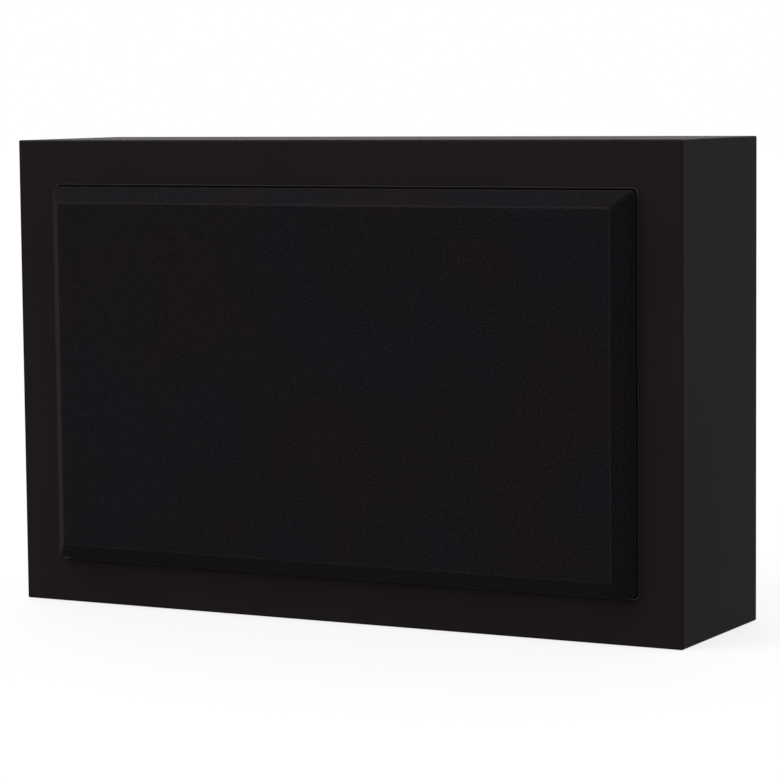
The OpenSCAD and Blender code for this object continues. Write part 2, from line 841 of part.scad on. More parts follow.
module driver_screws() color("#1d1d1f") at(driver_x, mid_z)
    flange_screw_places() difference() {
        union() {
            rod(flange_screw_d / 2, baffle_back + 1, flange_front);
            turned() polygon([
                [0, flange_front], [screw_head_r, flange_front],
                [screw_head_r, flange_front + screw_head_h - 0.8],
                [screw_head_r - 1, flange_front + screw_head_h], [0, flange_front + screw_head_h]
            ]);
        }
        translate([0, -flange_front - 0.6, 0]) rotate([90, 0, 0])
            cylinder(d = screw_socket_d, h = screw_head_h, $fn = 6);
    }

// Rubber half-roll between the flange's lip and the cone's rim, seen in section
module surround() color("#161617") at(driver_x, mid_z) {
    outer = lip_r - land_w;
    mid_r = (outer + rim_r) / 2;
    roll_r = (outer - rim_r) / 2 + surround_t / 2;
    turned() {
        difference() {
            translate([mid_r, lip_front]) circle(roll_r);
            translate([mid_r, lip_front]) circle(roll_r - surround_t);
            translate([mid_r - 2 * roll_r, lip_front - 2 * roll_r]) square([4 * roll_r, 2 * roll_r]);
        }
        translate([mid_r + roll_r - surround_t, lip_front])
            square([lip_r - rest_gap - mid_r - roll_r + surround_t, surround_t]);
        translate([rim_r - rim_land, lip_front])
            square([mid_r - roll_r + surround_t - rim_r + rim_land, surround_t]);
    }
}

// Height of the spider's middle line at a radius, in waves that fade at both lands
function spider_line(r, a, b) =
    r <= a || r >= b ? 0 : spider_wave_h * sin(360 * spider_waves * (r - a) / (b - a));

module spider() color("#b8923e") at(driver_x, mid_z) {
    inner = former_r + rest_gap;
    outer = ledge_r - 0.5;
    wave_start = former_r + 4;
    wave_end = neck_r - basket_t - 1;
    steps = 8 * spider_waves;
    radii = concat([inner], [for (i = [0:steps]) wave_start + (wave_end - wave_start) * i / steps], [outer]);
    turned() polygon(concat(
        [for (r = radii) [r, ledge_front + spider_line(r, wave_start, wave_end)]],
        [for (i = [len(radii) - 1:-1:0])
            [radii[i], ledge_front + spider_t + spider_line(radii[i], wave_start, wave_end)]]
    ));
}

// Forward distance of the cone's front at a share of the way in from rim to neck
function cone_front(t) =
    rim_front - (rim_front - neck_front) * (1.18 * t - 0.18 * t * t);
function cone_radius(t) = rim_r - rim_land + (former_r - rim_r + rim_land) * t;

module cone() color("#1a1a1c") at(driver_x, mid_z) {
    steps = 8;
    wall = cone_t * 1.1;
    turned() polygon(concat(
        [[rim_r, rim_front - cone_t], [rim_r, rim_front]],
        [for (i = [0:steps]) [cone_radius(i / steps) + (i == steps ? 0.05 : 0), cone_front(i / steps)]],
        [[former_r + 0.05, neck_front - collar_h], [former_r + 1.2, neck_front - collar_h]],
        [for (i = [steps - 1:-1:0]) [cone_radius(i / steps) + 0.6, cone_front(i / steps) - wall]]
    ));
}

// Share of the way in at which the cone has a given radius
function cone_share(r) = (rim_r - rim_land - r) / (rim_r - rim_land - former_r);

module dust_cap() color("#19191b") at(driver_x, mid_z) {
    base = cone_front(cone_share(cap_d / 2)) + 0.05;
    dome_r = (cap_d * cap_d / 4 + cap_h * cap_h) / (2 * cap_h);
    turned() intersection() {
        translate([0, base + cap_h - dome_r]) difference() {
            circle(dome_r);
            circle(dome_r - cap_t);
        }
        translate([0, base]) square([cap_d, cap_h + over]);
    }
}

module voice_coil_former() color("#c8a56a") at(driver_x, mid_z)
    tube(former_r, former_r - former_t, former_back, neck_front);

module voice_coil() color("#a0522d") at(driver_x, mid_z)
    tube(former_r + coil_t, former_r + 0.02, coil_mid - coil_h / 2, coil_mid + coil_h / 2);

module top_plate() color("#8d9094") at(driver_x, mid_z)
    turned() polygon([
        [gap_r, top_plate_back], [plate_d / 2, top_plate_back],
        [plate_d / 2, top_plate_front - 1], [plate_d / 2 - 1, top_plate_front], [gap_r, top_plate_front]
    ]);

module magnet() color("#2f3033") at(driver_x, mid_z)
    turned() polygon([
        [magnet_hole_d / 2, back_plate_front], [magnet_d / 2 - 1, back_plate_front],
        [magnet_d / 2, back_plate_front + 1], [magnet_d / 2, top_plate_back - 1],
        [magnet_d / 2 - 1, top_plate_back], [magnet_hole_d / 2, top_plate_back]
    ]);

// Back plate and pole piece in one forging, with a flared vent through it
module back_plate() color("#8d9094") at(driver_x, mid_z)
    turned() polygon([
        [vent_d / 2 + 2, back_plate_back], [plate_d / 2 - 1, back_plate_back],
        [plate_d / 2, back_plate_back + 1], [plate_d / 2, back_plate_front],
        [pole_r, back_plate_front], [pole_r, top_plate_front - 1], [pole_r - 1, top_plate_front],
        [vent_d / 2, top_plate_front], [vent_d / 2, back_plate_back + 3]
    ]);

// Ten screw places round the amplifier plate
module amp_screw_places() {
    for (x = [-1, 1], z = [-1, -1 / 3, 1 / 3, 1])
        at(x * amp_screw_x, z * amp_screw_z) children();
    for (z = [-1, 1])
        at(0, z * amp_screw_z) children();
}

module amplifier_plate() color("#1e1f21") difference() {
    union() {
        at(amp_x, amp_z) slab(amp_back, amp_front) rounded(amp_w, amp_h, amp_round);
        at(amp_x, (bay_bottom_z + bay_top_z) / 2)
            block(bay_w + 2 * bay_t, bay_h + 2 * bay_t, amp_back, bay_front + bay_t);
    }
    at(amp_x, (bay_bottom_z + bay_top_z) / 2) block(bay_w, bay_h, amp_back - over, bay_front);
    at(amp_x, amp_z) amp_screw_places() rod(amp_hole_r, amp_back - over, amp_front + over);
    for (x = [level_x, crossover_x])
        at(x, control_z) rod(bush_d / 2 + 0.15, amp_back - over, amp_front + over);
    for (x = [phase_x, mode_x])
        at(x, control_z) lever_slot(amp_back - over, amp_front + over);
    at(light_x, control_z) rod(light_r + 0.1, amp_back - over, amp_front + over);
    at(rocker_x, control_z) block(switch_w + 0.3, switch_h + 0.3, amp_back - over, amp_front + over);
    at(transformer_x, transformer_z) rod(bolt_r + 0.2, amp_back - over, amp_front + over);
    for (x = audio_xs)
        translate([x, -socket_f, bay_top_z - over]) cylinder(r = socket_neck_r + 0.1, h = bay_t + 2 * over);
    translate([inlet_x, -socket_f, bay_top_z + bay_t / 2])
        inlet_block(inlet_wall + 0.2, bay_t + 2 * over);
}

// Slot that a switch's lever slides in
module lever_slot(back, front) {
    block(lever_w + 2 * lever_gap, lever_w + lever_travel + 1, back, front);
}

module amplifier_seal() color("#101010") at(amp_x, amp_z) difference() {
    block(amp_w - 2, amp_h - 2, amp_front, recess_d);
    block(cutout_w, cutout_h, amp_front - over, recess_d + over);
    amp_screw_places() rod(amp_hole_r, amp_front - over, recess_d + over);
}

module amplifier_screws() color("#1a1a1b") at(amp_x, amp_z) amp_screw_places() difference() {
    turned() polygon([
        [0, amp_back - amp_head_h], [amp_screw_d - 1.4, amp_back - amp_head_h],
        [amp_screw_d, amp_back - amp_head_h + 1], [amp_screw_d, amp_back],
        [amp_screw_d / 2, amp_back], [amp_screw_d / 2, amp_screw_end - 1.5], [0, amp_screw_end]
    ]);
    for (turn = [0, 90])
        rotate([0, turn, 0]) block(amp_screw_d + 0.2, 0.8, amp_back - amp_head_h - over, amp_back - 1);
}

// Extruded section: a base with thin upright fins
module heat_sink() color("#1b1c1e") at(sink_x, sink_z) {
    block(sink_w, sink_h, amp_back - sink_base, amp_back);
    for (i = [0:fins - 1])
        at((sink_w - fin_t) * (i / (fins - 1) - 0.5), 0)
            block(fin_t, sink_h, amp_back - sink_base - fin_h, amp_back - sink_base + 0.5);
}

// Power devices bolted to the inside of the plate, opposite the heat sink
module power_transistors() color("#202124")
    for (i = [0:3])
        at(power_board_x + device_inset + i * device_pitch, power_board_z + device_rise) {
            block(device_w, device_h, amp_front, amp_front + device_t);
            for (x = [-leg_pitch, 0, leg_pitch])
                at(x, -device_h / 2 - leg_len / 2 + 0.5) {
                    block(leg_w, leg_len, leg_back, leg_back + leg_w);
                    at(0, (leg_w - leg_len) / 2) block(leg_w, leg_w, leg_back, pcb_back);
                }
        }

// One circuit board between two corners
module board(x, z, w, h) {
    translate([x, -pcb_front, z]) cube([w, pcb_t, h]);
}

module control_board() color("#14502e") difference() {
    board(control_board_x, control_board_z, control_board_w, control_board_h);
    control_board_corners() rod(standoff_hole_r, pcb_back - over, pcb_front + over);
}

module power_board() color("#14502e") difference() {
    board(power_board_x, power_board_z, power_board_w, power_board_h);
    power_board_corners() rod(standoff_hole_r, pcb_back - over, pcb_front + over);
}

// The four standoff places of a board, near its corners
module board_corners(x, z, w, h) {
    for (dx = [standoff_inset, w - standoff_inset], dz = [standoff_inset, h - standoff_inset])
        at(x + dx, z + dz) children();
}

module control_board_corners() {
    board_corners(control_board_x, control_board_z, control_board_w, control_board_h) children();
}

module power_board_corners() {
    board_corners(power_board_x, power_board_z, power_board_w, power_board_h) children();
}

module board_standoffs() color("#c2b280") {
    control_board_corners() tube(standoff_r, standoff_hole_r, amp_front, pcb_back);
    power_board_corners() tube(standoff_r, standoff_hole_r, amp_front, pcb_back);
}

// Ring core with its winding, wrapped in film, round in section at the corners
module transformer() color("#d8b24a") at(transformer_x, transformer_z) {
    back = amp_front + pad_t;
    ring = (transformer_d - transformer_hole_d) / 2;
    turned() translate([transformer_hole_d / 2 + ring / 2, back + transformer_h / 2])
        rounded(ring, transformer_h, transformer_round);
}

module transformer_pads() color("#18181a") at(transformer_x, transformer_z) {
    tube(transformer_d / 2 - 6, bolt_r + 1, amp_front, amp_front + pad_t);
    tube(dish_r, bolt_r + 1, dish_back - pad_t, dish_back);
}

module transformer_dish() color("#b9bcc0") at(transformer_x, transformer_z)
    tube(dish_r, bolt_r + 0.2, dish_back, dish_back + dish_t);

module transformer_bolt() color("#b9bcc0") at(transformer_x, transformer_z) {
    rod(bolt_r, amp_back - 1, dish_back + dish_t + bolt_end);
    translate([0, -amp_back + bolt_head_h, 0]) rotate([90, 0, 0])
        cylinder(r = bolt_head_r, h = bolt_head_h, $fn = 6);
    translate([0, -dish_back - dish_t, 0]) rotate([90, 0, 0])
        cylinder(r = bolt_head_r, h = bolt_nut_h, $fn = 6);
}

module reservoir_capacitors() color("#15161d")
    for (x = [-1, 1])
        at(power_board_x + power_board_w / 2 + x * (capacitor_d / 2 + 2),
            power_board_z + power_board_h - capacitor_d)
            turned() polygon([
                [0, pcb_front], [capacitor_d / 2 - 0.8, pcb_front], [capacitor_d / 2, pcb_front + 1.5],
                [capacitor_d / 2 - 0.8, pcb_front + 3], [capacitor_d / 2, pcb_front + 4.5],
                [capacitor_d / 2, pcb_front + capacitor_h - 1],
                [capacitor_d / 2 - 1, pcb_front + capacitor_h], [0, pcb_front + capacitor_h]
            ]);

// A rotary control: a square body on the board and a bush through the plate
module rotary_control(x) color("#3a3c40") at(x, control_z) difference() {
    union() {
        block(control_body_w, control_body_w, amp_front, pcb_back);
        rod(bush_d / 2, bush_back, amp_front + over);
    }
    rod(shaft_d / 2 + fit, bush_back - over, pcb_back - 2);
}

module control_shaft(x) color("#c9ccd0") at(x, control_z)
    rod(shaft_d / 2, knob_back + 3, pcb_back - 2 - rest_gap);

// Knob with grip flutes, a pointer line and a hollow underside that clears the nut
module control_knob(x) color("#131314") at(x, control_z) difference() {
    union() {
        intersection() {
            turned() polygon([
                [0, knob_back], [knob_d / 2 - 2 * knob_step, knob_back],
                [knob_d / 2 - knob_step, knob_back + knob_step],
                [knob_d / 2 - knob_step, knob_front], [0, knob_front]
            ]);
            slab(knob_back - over, knob_front + over) fluted_outline();
        }
        rod(knob_d / 2, knob_front - knob_skirt, knob_front);
    }
    rod(shaft_d / 2 + seat_gap, knob_back + 2.5, knob_front + over);
    rod(knob_d / 2 - 2.6, knob_front - knob_relief_t, knob_front + over);
    at(0, knob_d / 4 - 0.5) block(0.9, knob_d / 2 - 3, knob_back - over, knob_back + 0.5);
}

// A round outline with shallow flutes
module fluted_outline() {
    flutes = 18;
    difference() {
        circle(knob_d / 2 + over);
        for (i = [0:flutes - 1])
            rotate(i * 360 / flutes) translate([knob_d / 2 - 0.05, 0]) circle(1.2);
    }
}

module control_nuts() color("#c9ccd0")
    for (x = [level_x, crossover_x])
        at(x, control_z) difference() {
            translate([0, -amp_back + nut_t, 0]) rotate([90, 0, 0])
                cylinder(r = knob_d / 2 - 3.2, h = nut_t, $fn = 6);
            rod(bush_d / 2 + 0.03, amp_back - nut_t - over, amp_back + over);
        }

// A slide switch: its body on the board, and a lever that stands out through the plate
module slide_switch(x) color("#2a2b2e") at(x, control_z) difference() {
    block(lever_w + 4.5, lever_w + lever_travel + 7, amp_front, pcb_back);
    lever_slot(amp_front - over, amp_front + 5);
}

module slide_lever(x) color("#0f0f10") at(x, control_z - lever_travel / 2)
    difference() {
        block(lever_w, lever_w, amp_back - 3, amp_front + 4.7);
        for (z = [-1, 1])
            at(0, z * lever_w / 4) block(lever_w + 2, 0.6, amp_back - 4, amp_back - 2.4);
    }

// Body of the mains switch, and the cavity that the rocker tips in
module mains_switch() color("#111112") at(rocker_x, control_z) difference() {
    union() {
        block(switch_w, switch_h, amp_back, amp_back + switch_d);
        block(switch_w + 2 * switch_edge, switch_h + 2 * switch_edge, amp_back - switch_edge, amp_back);
    }
    block(rocker_w + 0.6, rocker_h + 1.6, amp_back - switch_edge - over, amp_back + 8);
    translate([-switch_w / 2 - over, -rocker_f, 0]) rotate([0, 90, 0])
        cylinder(r = rocker_pin_r + fit, h = switch_w + 2 * over);
}

// Rocker with a dished face, tipped to its off side, on two pivot pins
module mains_rocker() color("#0d0d0e")
    translate([rocker_x, -rocker_f, control_z])
        rotate([-rocker_tilt, 0, 0]) {
            translate([-rocker_w / 2, 0, 0])
                rotate([90, 0, 90])
                    linear_extrude(rocker_w)
                        polygon([
                            [0.6, -rocker_h / 2], [4.6, -rocker_h / 2], [3.2, 0], [4.6, rocker_h / 2],
                            [0.6, rocker_h / 2], [-4.5, 2.5], [-4.5, -2.5]
                        ]);
            translate([-rocker_w / 2 - 0.9, 0, 0]) rotate([0, 90, 0])
                cylinder(r = rocker_pin_r, h = rocker_w + 1.8);
        }

module status_light() color("#7fb7e8") at(light_x, control_z) {
    rod(light_r, amp_back, pcb_back);
    translate([0, -amp_back, 0]) intersection() {
        sphere(light_r);
        translate([-2 * light_r, 0, -2 * light_r]) cube([4 * light_r, 2 * light_r, 4 * light_r]);
    }
}

// A box in the roof of the plug bay, as wide as the mains inlet's hollow and a wall all round
module inlet_block(wall, height) {
    cube([inlet_w + 2 * wall, inlet_h + 2 * wall, height], center = true);
}

// The mains inlet's body, facing down, with a flange below the roof
module mains_inlet() color("#121213")
    translate([inlet_x, -socket_f, bay_top_z]) difference() {
        union() {
            translate([0, 0, inlet_body_h / 2]) inlet_block(inlet_wall, inlet_body_h);
            translate([0, 0, -inlet_flange_t / 2]) inlet_block(inlet_wall + 2, inlet_flange_t);
        }
        translate([0, 0, inlet_d / 2 - inlet_flange_t - over / 2]) inlet_block(0, inlet_d + over);
        for (p = inlet_pin_places)
            translate([p[0], p[1], 0])
                cube([inlet_pin_w + 0.1, inlet_pin_t + 0.1, 2 * inlet_body_h + over], center = true);
    }

module inlet_pins() color("#c9ccd0")
    for (p = inlet_pin_places)
        translate([inlet_x + p[0], -socket_f + p[1], bay_top_z + inlet_pin_len / 2])
            cube([inlet_pin_w, inlet_pin_t, inlet_pin_len], center = true);

// Moulded bodies of the audio sockets, each with a core inside its metal shell
module audio_sockets() color("#e8e8e8")
    for (x = audio_xs)
        translate([x, -socket_f, bay_top_z]) difference() {
            union() {
                translate([-audio_body_w / 2, -audio_body_w / 2, bay_t])
                    cube([audio_body_w, audio_body_w, audio_body_h]);
                translate([0, 0, -0.2]) cylinder(r = socket_neck_r, h = bay_t + over);
                translate([0, 0, -shell_len])
                    cylinder(r = shell_d / 2 - shell_t - seat_gap, h = shell_len + over);
            }
            translate([0, 0, -shell_len - over]) cylinder(r = contact_d / 2, h = shell_len + over);
        }

module audio_shells() color("#d9b65a")
    for (x = audio_xs)
        translate([x, -socket_f, bay_top_z - shell_len]) difference() {
            union() {
                cylinder(d = shell_d, h = shell_len - 0.2);
                translate([0, 0, shell_len - 1.2]) cylinder(r = socket_neck_r + 1.2, h = 1);
            }
            translate([0, 0, -over]) cylinder(r = shell_d / 2 - shell_t, h = shell_len + 2 * over);
        }

// Two leads from the control board, through the brace's window, to the driver's tags
function curve(p, t) =
    pow(1 - t, 3) * p[0] + 3 * pow(1 - t, 2) * t * p[1] + 3 * (1 - t) * t * t * p[2] + pow(t, 3) * p[3];
function slope(p, t) =
    3 * pow(1 - t, 2) * (p[1] - p[0]) + 6 * (1 - t) * t * (p[2] - p[1]) + 3 * t * t * (p[3] - p[2]);
function unit(v) = v / norm(v);

// Places and directions along curves of four points, each of which runs on from the one before
function stations(curves, steps) = [
    for (k = [0:len(curves) - 1], i = [(k == 0 ? 0 : 1):steps])
    [curve(curves[k], i / steps), unit(slope(curves[k], i / steps))]
];

// A round tube through places and directions, as one closed mesh
module swept_tube(path, d, sides = 10) {
    last = len(path) - 1;
    ring_points = [
        for (s = path) let (
            side = unit(cross(s[1], [0, 0, 1])),
            up = cross(side, s[1])
        )
        for (k = [0:sides - 1]) let (a = 360 * k / sides)
        s[0] + d / 2 * (cos(a) * side + sin(a) * up)
    ];
    skin = [
        for (i = [0:last - 1], k = [0:sides - 1]) let (n = (k + 1) % sides)
        each [
            [i * sides + k, i * sides + n, (i + 1) * sides + n],
            [i * sides + k, (i + 1) * sides + n, (i + 1) * sides + k]
        ]
    ];
    ends = [[for (k = [sides - 1:-1:0]) k], [for (k = [0:sides - 1]) last * sides + k]];
    polyhedron(ring_points, concat(skin, ends));
}

// Two leads, each from the board to the middle of the brace's window and on to its tag
module speaker_leads() color("#7a1f1f")
    for (side = [-1, 1]) {
        board_z = control_z + side * lead_spread;
        window_z = mid_z + side * lead_window_spread;
        tag_z = mid_z + side * tag_spread;
        window_x = brace_x + brace_t / 2 + 2;
        tag_x = driver_x + terminal_r + tag_board_t + tag_len;
        swept_tube(stations([
            [
                [lead_x, -pcb_front, board_z], [lead_x, -pcb_front - lead_rise, board_z],
                [window_x + brace_gap, -brace_f, window_z], [window_x, -brace_f, window_z]
            ], [
                [window_x, -brace_f, window_z], [window_x - brace_t - 4, -brace_f, window_z],
                [tag_x + brace_t + 4, -terminal_f, tag_z], [tag_x, -terminal_f, tag_z]
            ]
        ], 13), lead_d);
    }

cabinet();
baffle();
back_panel();
brace();
damping_wadding();
hanger_block(-1);  // hanger_block_left
hanger_block(1);  // hanger_block_right
hanger_plate(-1);  // hanger_plate_left
hanger_plate(1);  // hanger_plate_right
hanger_screws();
wall_bumpers();
grille_frame();
grille_cloth();
grille_pegs();
grille_cups();
driver_basket();
driver_seal();
driver_screws();
driver_terminals();
surround();
spider();
cone();
dust_cap();
voice_coil_former();
voice_coil();
top_plate();
magnet();
back_plate();
amplifier_plate();
amplifier_seal();
amplifier_screws();
heat_sink();
power_transistors();
control_board();
power_board();
board_standoffs();
transformer();
transformer_pads();
transformer_bolt();
transformer_dish();
reservoir_capacitors();
rotary_control(level_x);  // level_control
control_shaft(level_x);  // level_shaft
control_knob(level_x);  // level_knob
rotary_control(crossover_x);  // crossover_control
control_shaft(crossover_x);  // crossover_shaft
control_knob(crossover_x);  // crossover_knob
control_nuts();
slide_switch(phase_x);  // phase_switch
slide_lever(phase_x);  // phase_lever
slide_switch(mode_x);  // mode_switch
slide_lever(mode_x);  // mode_lever
mains_switch();
mains_rocker();
mains_inlet();
inlet_pins();
audio_sockets();
audio_shells();
status_light();
speaker_leads();
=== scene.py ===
"""A shallow wall subwoofer: finishes, stretched cloth and flexing rubber round its rigid parts."""
import math

import bmesh
import bpy
import numpy as np
from mathutils import Matrix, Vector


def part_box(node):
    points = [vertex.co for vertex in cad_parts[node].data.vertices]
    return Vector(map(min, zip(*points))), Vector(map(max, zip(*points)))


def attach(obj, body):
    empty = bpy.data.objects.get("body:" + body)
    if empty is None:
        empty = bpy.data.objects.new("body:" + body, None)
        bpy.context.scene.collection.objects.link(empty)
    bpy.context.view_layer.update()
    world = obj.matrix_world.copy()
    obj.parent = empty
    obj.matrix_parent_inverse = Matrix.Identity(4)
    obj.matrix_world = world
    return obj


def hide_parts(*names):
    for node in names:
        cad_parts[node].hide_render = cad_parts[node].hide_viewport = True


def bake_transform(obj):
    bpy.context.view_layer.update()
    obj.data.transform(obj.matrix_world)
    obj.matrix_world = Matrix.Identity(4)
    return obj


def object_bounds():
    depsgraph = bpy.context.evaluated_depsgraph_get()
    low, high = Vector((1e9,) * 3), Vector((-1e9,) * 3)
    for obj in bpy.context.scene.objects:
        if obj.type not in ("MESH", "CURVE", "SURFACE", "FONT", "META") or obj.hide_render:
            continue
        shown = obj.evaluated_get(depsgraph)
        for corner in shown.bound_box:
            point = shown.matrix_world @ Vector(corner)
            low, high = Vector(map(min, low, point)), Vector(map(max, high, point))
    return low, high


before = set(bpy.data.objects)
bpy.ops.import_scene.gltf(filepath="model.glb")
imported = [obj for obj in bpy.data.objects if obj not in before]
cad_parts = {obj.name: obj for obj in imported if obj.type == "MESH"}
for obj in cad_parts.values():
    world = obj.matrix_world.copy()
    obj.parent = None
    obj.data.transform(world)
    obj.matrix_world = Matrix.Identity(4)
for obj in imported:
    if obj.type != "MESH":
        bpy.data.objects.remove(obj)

solid_low, solid_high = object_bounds()


# ---- Camera
# It stands in front of the cabinet and to its right, a little above the middle, and so far
# away that parallel edges hardly run together.
camera_place = (1.01467, -1.93980, 0.07507)
camera_yaw, camera_pitch, camera_roll = 28.205, -5.474, 0.570

camera_data = bpy.data.cameras.new("camera")
camera_data.lens = 145.07
camera_data.sensor_width = 36.0
camera_data.clip_end = 60.0
camera = bpy.data.objects.new("camera", camera_data)
camera.matrix_world = (
    Matrix.Translation(camera_place)
    @ Matrix.Rotation(math.radians(camera_yaw), 4, "Z")
    @ Matrix.Rotation(math.radians(camera_pitch), 4, "X")
    @ Matrix.Rotation(math.radians(camera_roll), 4, "Y")
    @ Matrix.Rotation(math.pi / 2, 4, "X")
)
bpy.context.scene.collection.objects.link(camera)
bpy.context.scene.camera = camera
bpy.context.scene.view_settings.view_transform = "Standard"


# ---- Floor and studio light
# A pale matt floor at the cabinet's foot, under a white room. Three soft, wide lights: the main
# one high on the left in front, a weak one from the right that falls on the cabinet's side, and
# one from behind that shows the back at the same level as the front.
def linear(hex_text):
    """Linear RGBA of an sRGB hex colour: c/12.92 below 0.04045, else ((c+0.055)/1.055)^2.4."""
    parts = [int(hex_text[i:i + 2], 16) / 255 for i in (1, 3, 5)]
    return (*[c / 12.92 if c <= 0.04045 else ((c + 0.055) / 1.055) ** 2.4 for c in parts], 1.0)


def add(tree, kind, settings=None, inputs=None):
    """Adds one shader node, sets its fields, and fills or links its inputs by name or number."""
    node = tree.nodes.new("ShaderNode" + kind)
    for field, value in (settings or {}).items():
        setattr(node, field, value)
    for name, value in (inputs or {}).items():
        if isinstance(value, bpy.types.Node):
            value = value.outputs[0]
        if isinstance(value, bpy.types.NodeSocket):
            tree.links.new(value, node.inputs[name])
        else:
            node.inputs[name].default_value = value
    return node


def mesh_piece(name, points, faces, material):
    """Makes a smooth-shaded mesh object at the origin from an N x 3 array and lists of corners."""
    mesh = bpy.data.meshes.new(name)
    mesh.from_pydata(np.asarray(points, float).tolist(), [], [list(f) for f in faces])
    mesh.polygons.foreach_set("use_smooth", np.ones(len(mesh.polygons), bool))
    mesh.materials.append(material)
    mesh.update()
    piece = bpy.data.objects.new(name, mesh)
    bpy.context.scene.collection.objects.link(piece)
    return piece


def grid_faces(rows, columns, wrap=False):
    """Corners of the quads of a rows x columns grid of points; wrap joins the last column to the
    first."""
    r, c = np.meshgrid(
        np.arange(rows - 1), np.arange(columns if wrap else columns - 1), indexing="ij")
    row, next_row, n = r * columns, (r + 1) * columns, (c + 1) % columns
    quads = np.stack([row + c, row + n, next_row + n, next_row + c], -1)
    return quads.reshape(-1, 4).tolist()


white_room = bpy.data.worlds.new("white_room")
bpy.context.scene.world = white_room
white_room.use_nodes = True
tree = white_room.node_tree
tree.nodes.clear()
ray = add(tree, "LightPath")
seen = add(tree, "Math", {"operation": "MAXIMUM"},
           {0: ray.outputs["Is Camera Ray"], 1: ray.outputs["Is Glossy Ray"]})
seen = add(tree, "Math", {"operation": "MAXIMUM"}, {0: seen, 1: ray.outputs["Is Transmission Ray"]})
level = add(tree, "MapRange", inputs={"Value": seen, "To Min": 0.55, "To Max": 1.0})
room = add(tree, "Background", inputs={"Color": (1, 1, 1, 1), "Strength": level})
add(tree, "OutputWorld", inputs={"Surface": room})

floor_paint = bpy.data.materials.new("pale_matt_floor")
floor_paint.use_nodes = True
tree = floor_paint.node_tree
tree.nodes.clear()
ray = add(tree, "LightPath")
seen = add(tree, "Math", {"operation": "MAXIMUM"},
           {0: ray.outputs["Is Camera Ray"], 1: ray.outputs["Is Glossy Ray"]})
matt = add(tree, "BsdfDiffuse", inputs={"Color": linear("#808080")})
pale = add(tree, "Emission", inputs={"Color": (1, 1, 1, 1), "Strength": add(
    tree, "Math", {"operation": "MULTIPLY"}, {0: seen, 1: 0.8})})
add(tree, "OutputMaterial", inputs={"Surface": add(tree, "AddShader", inputs={0: matt, 1: pale})})

floor_half, floor_gap = 14.0, 0.0004
floor_z = solid_low.z - floor_gap
floor = mesh_piece("floor", [
    (-floor_half, -floor_half, floor_z), (floor_half, -floor_half, floor_z),
    (floor_half, floor_half, floor_z), (-floor_half, floor_half, floor_z),
], [(0, 1, 2, 3)], floor_paint)

for name, strength, spread, turn in (
    ("main_light", 1.4, 50, (48, 0, -38)),
    ("side_light", 0.17, 60, (40, 0, 68)),
    ("back_light", 1.0, 50, (-50, 0, 28)),
):
    lamp = bpy.data.lights.new(name, "SUN")
    lamp.energy = strength
    lamp.angle = math.radians(spread)
    holder = bpy.data.objects.new(name, lamp)
    holder.rotation_euler = [math.radians(t) for t in turn]
    bpy.context.scene.collection.objects.link(holder)


# ---- Cabinet
# A glued carcass of medium-density fibreboard with softly rounded edges. It is filled, sanded
# and sprayed with black two-part lacquer in a low satin: a faint stipple, and no grain.
def new_material(name):
    """An empty material with a Principled surface; gives it, its node tree, surface and place."""
    material = bpy.data.materials.new(name)
    material.use_nodes = True
    tree = material.node_tree
    tree.nodes.clear()
    surface = add(tree, "BsdfPrincipled")
    add(tree, "OutputMaterial", inputs={"Surface": surface})
    return material, tree, surface, add(tree, "TexCoord").outputs["Object"]


def grained(name, dark, light, grain, rough, depth, metallic=0.0, specular=0.5,
            stretch=(1, 1, 1), patch=0.045, **sockets):
    """An even finish with a fine grain. Colour runs from dark to light with six parts of the
    grain's noise and four of a slow, patchy one. Roughness runs between two values with the
    grain, which also raises the surface by depth. Stretch draws the grain out along an axis."""
    material, tree, surface, place = new_material(name)
    place = add(tree, "Mapping", inputs={"Vector": place, "Scale": stretch})
    fine = add(tree, "TexNoise", inputs={"Vector": place, "Scale": 1 / grain, "Detail": 2.5})
    slow = add(tree, "TexNoise", inputs={"Vector": place, "Scale": 1 / patch, "Detail": 3.0})
    part = add(tree, "Math", {"operation": "MULTIPLY"}, {0: slow, 1: 0.4})
    blend = add(tree, "Math", {"operation": "MULTIPLY_ADD"}, {0: fine, 1: 0.6, 2: part})
    blend = add(tree, "MapRange", inputs={"Value": blend, "From Min": 0.34, "From Max": 0.66})
    tint = add(tree, "Mix", {"data_type": "RGBA"}, {0: blend, 6: linear(dark), 7: linear(light)})
    sheen = add(tree, "MapRange", inputs={
        "Value": fine, "From Min": 0.3, "From Max": 0.7, "To Min": rough[0], "To Max": rough[1]})
    relief = add(tree, "Bump", inputs={"Strength": 0.6, "Distance": depth, "Height": fine})
    tree.links.new(tint.outputs[2], surface.inputs["Base Color"])
    tree.links.new(sheen.outputs[0], surface.inputs["Roughness"])
    tree.links.new(relief.outputs[0], surface.inputs["Normal"])
    surface.inputs["Metallic"].default_value = metallic
    surface.inputs["Specular IOR Level"].default_value = specular
    for socket, value in sockets.items():
        surface.inputs[socket.replace("_", " ")].default_value = value
    return material


def dress(material, *nodes):
    """Gives CAD nodes a material in place of their plain one."""
    for n in nodes:
        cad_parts[n].data.materials.clear()
        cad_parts[n].data.materials.append(material)


# Two-part satin lacquer: near black with a warm cast, stipple about a millimetre across.
satin_lacquer = grained(
    "satin_black_lacquer", "#211c1e", "#262123", 0.0011, (0.5, 0.6), 0.00003,
    specular=0.02, patch=0.12)
dress(satin_lacquer, "cabinet")

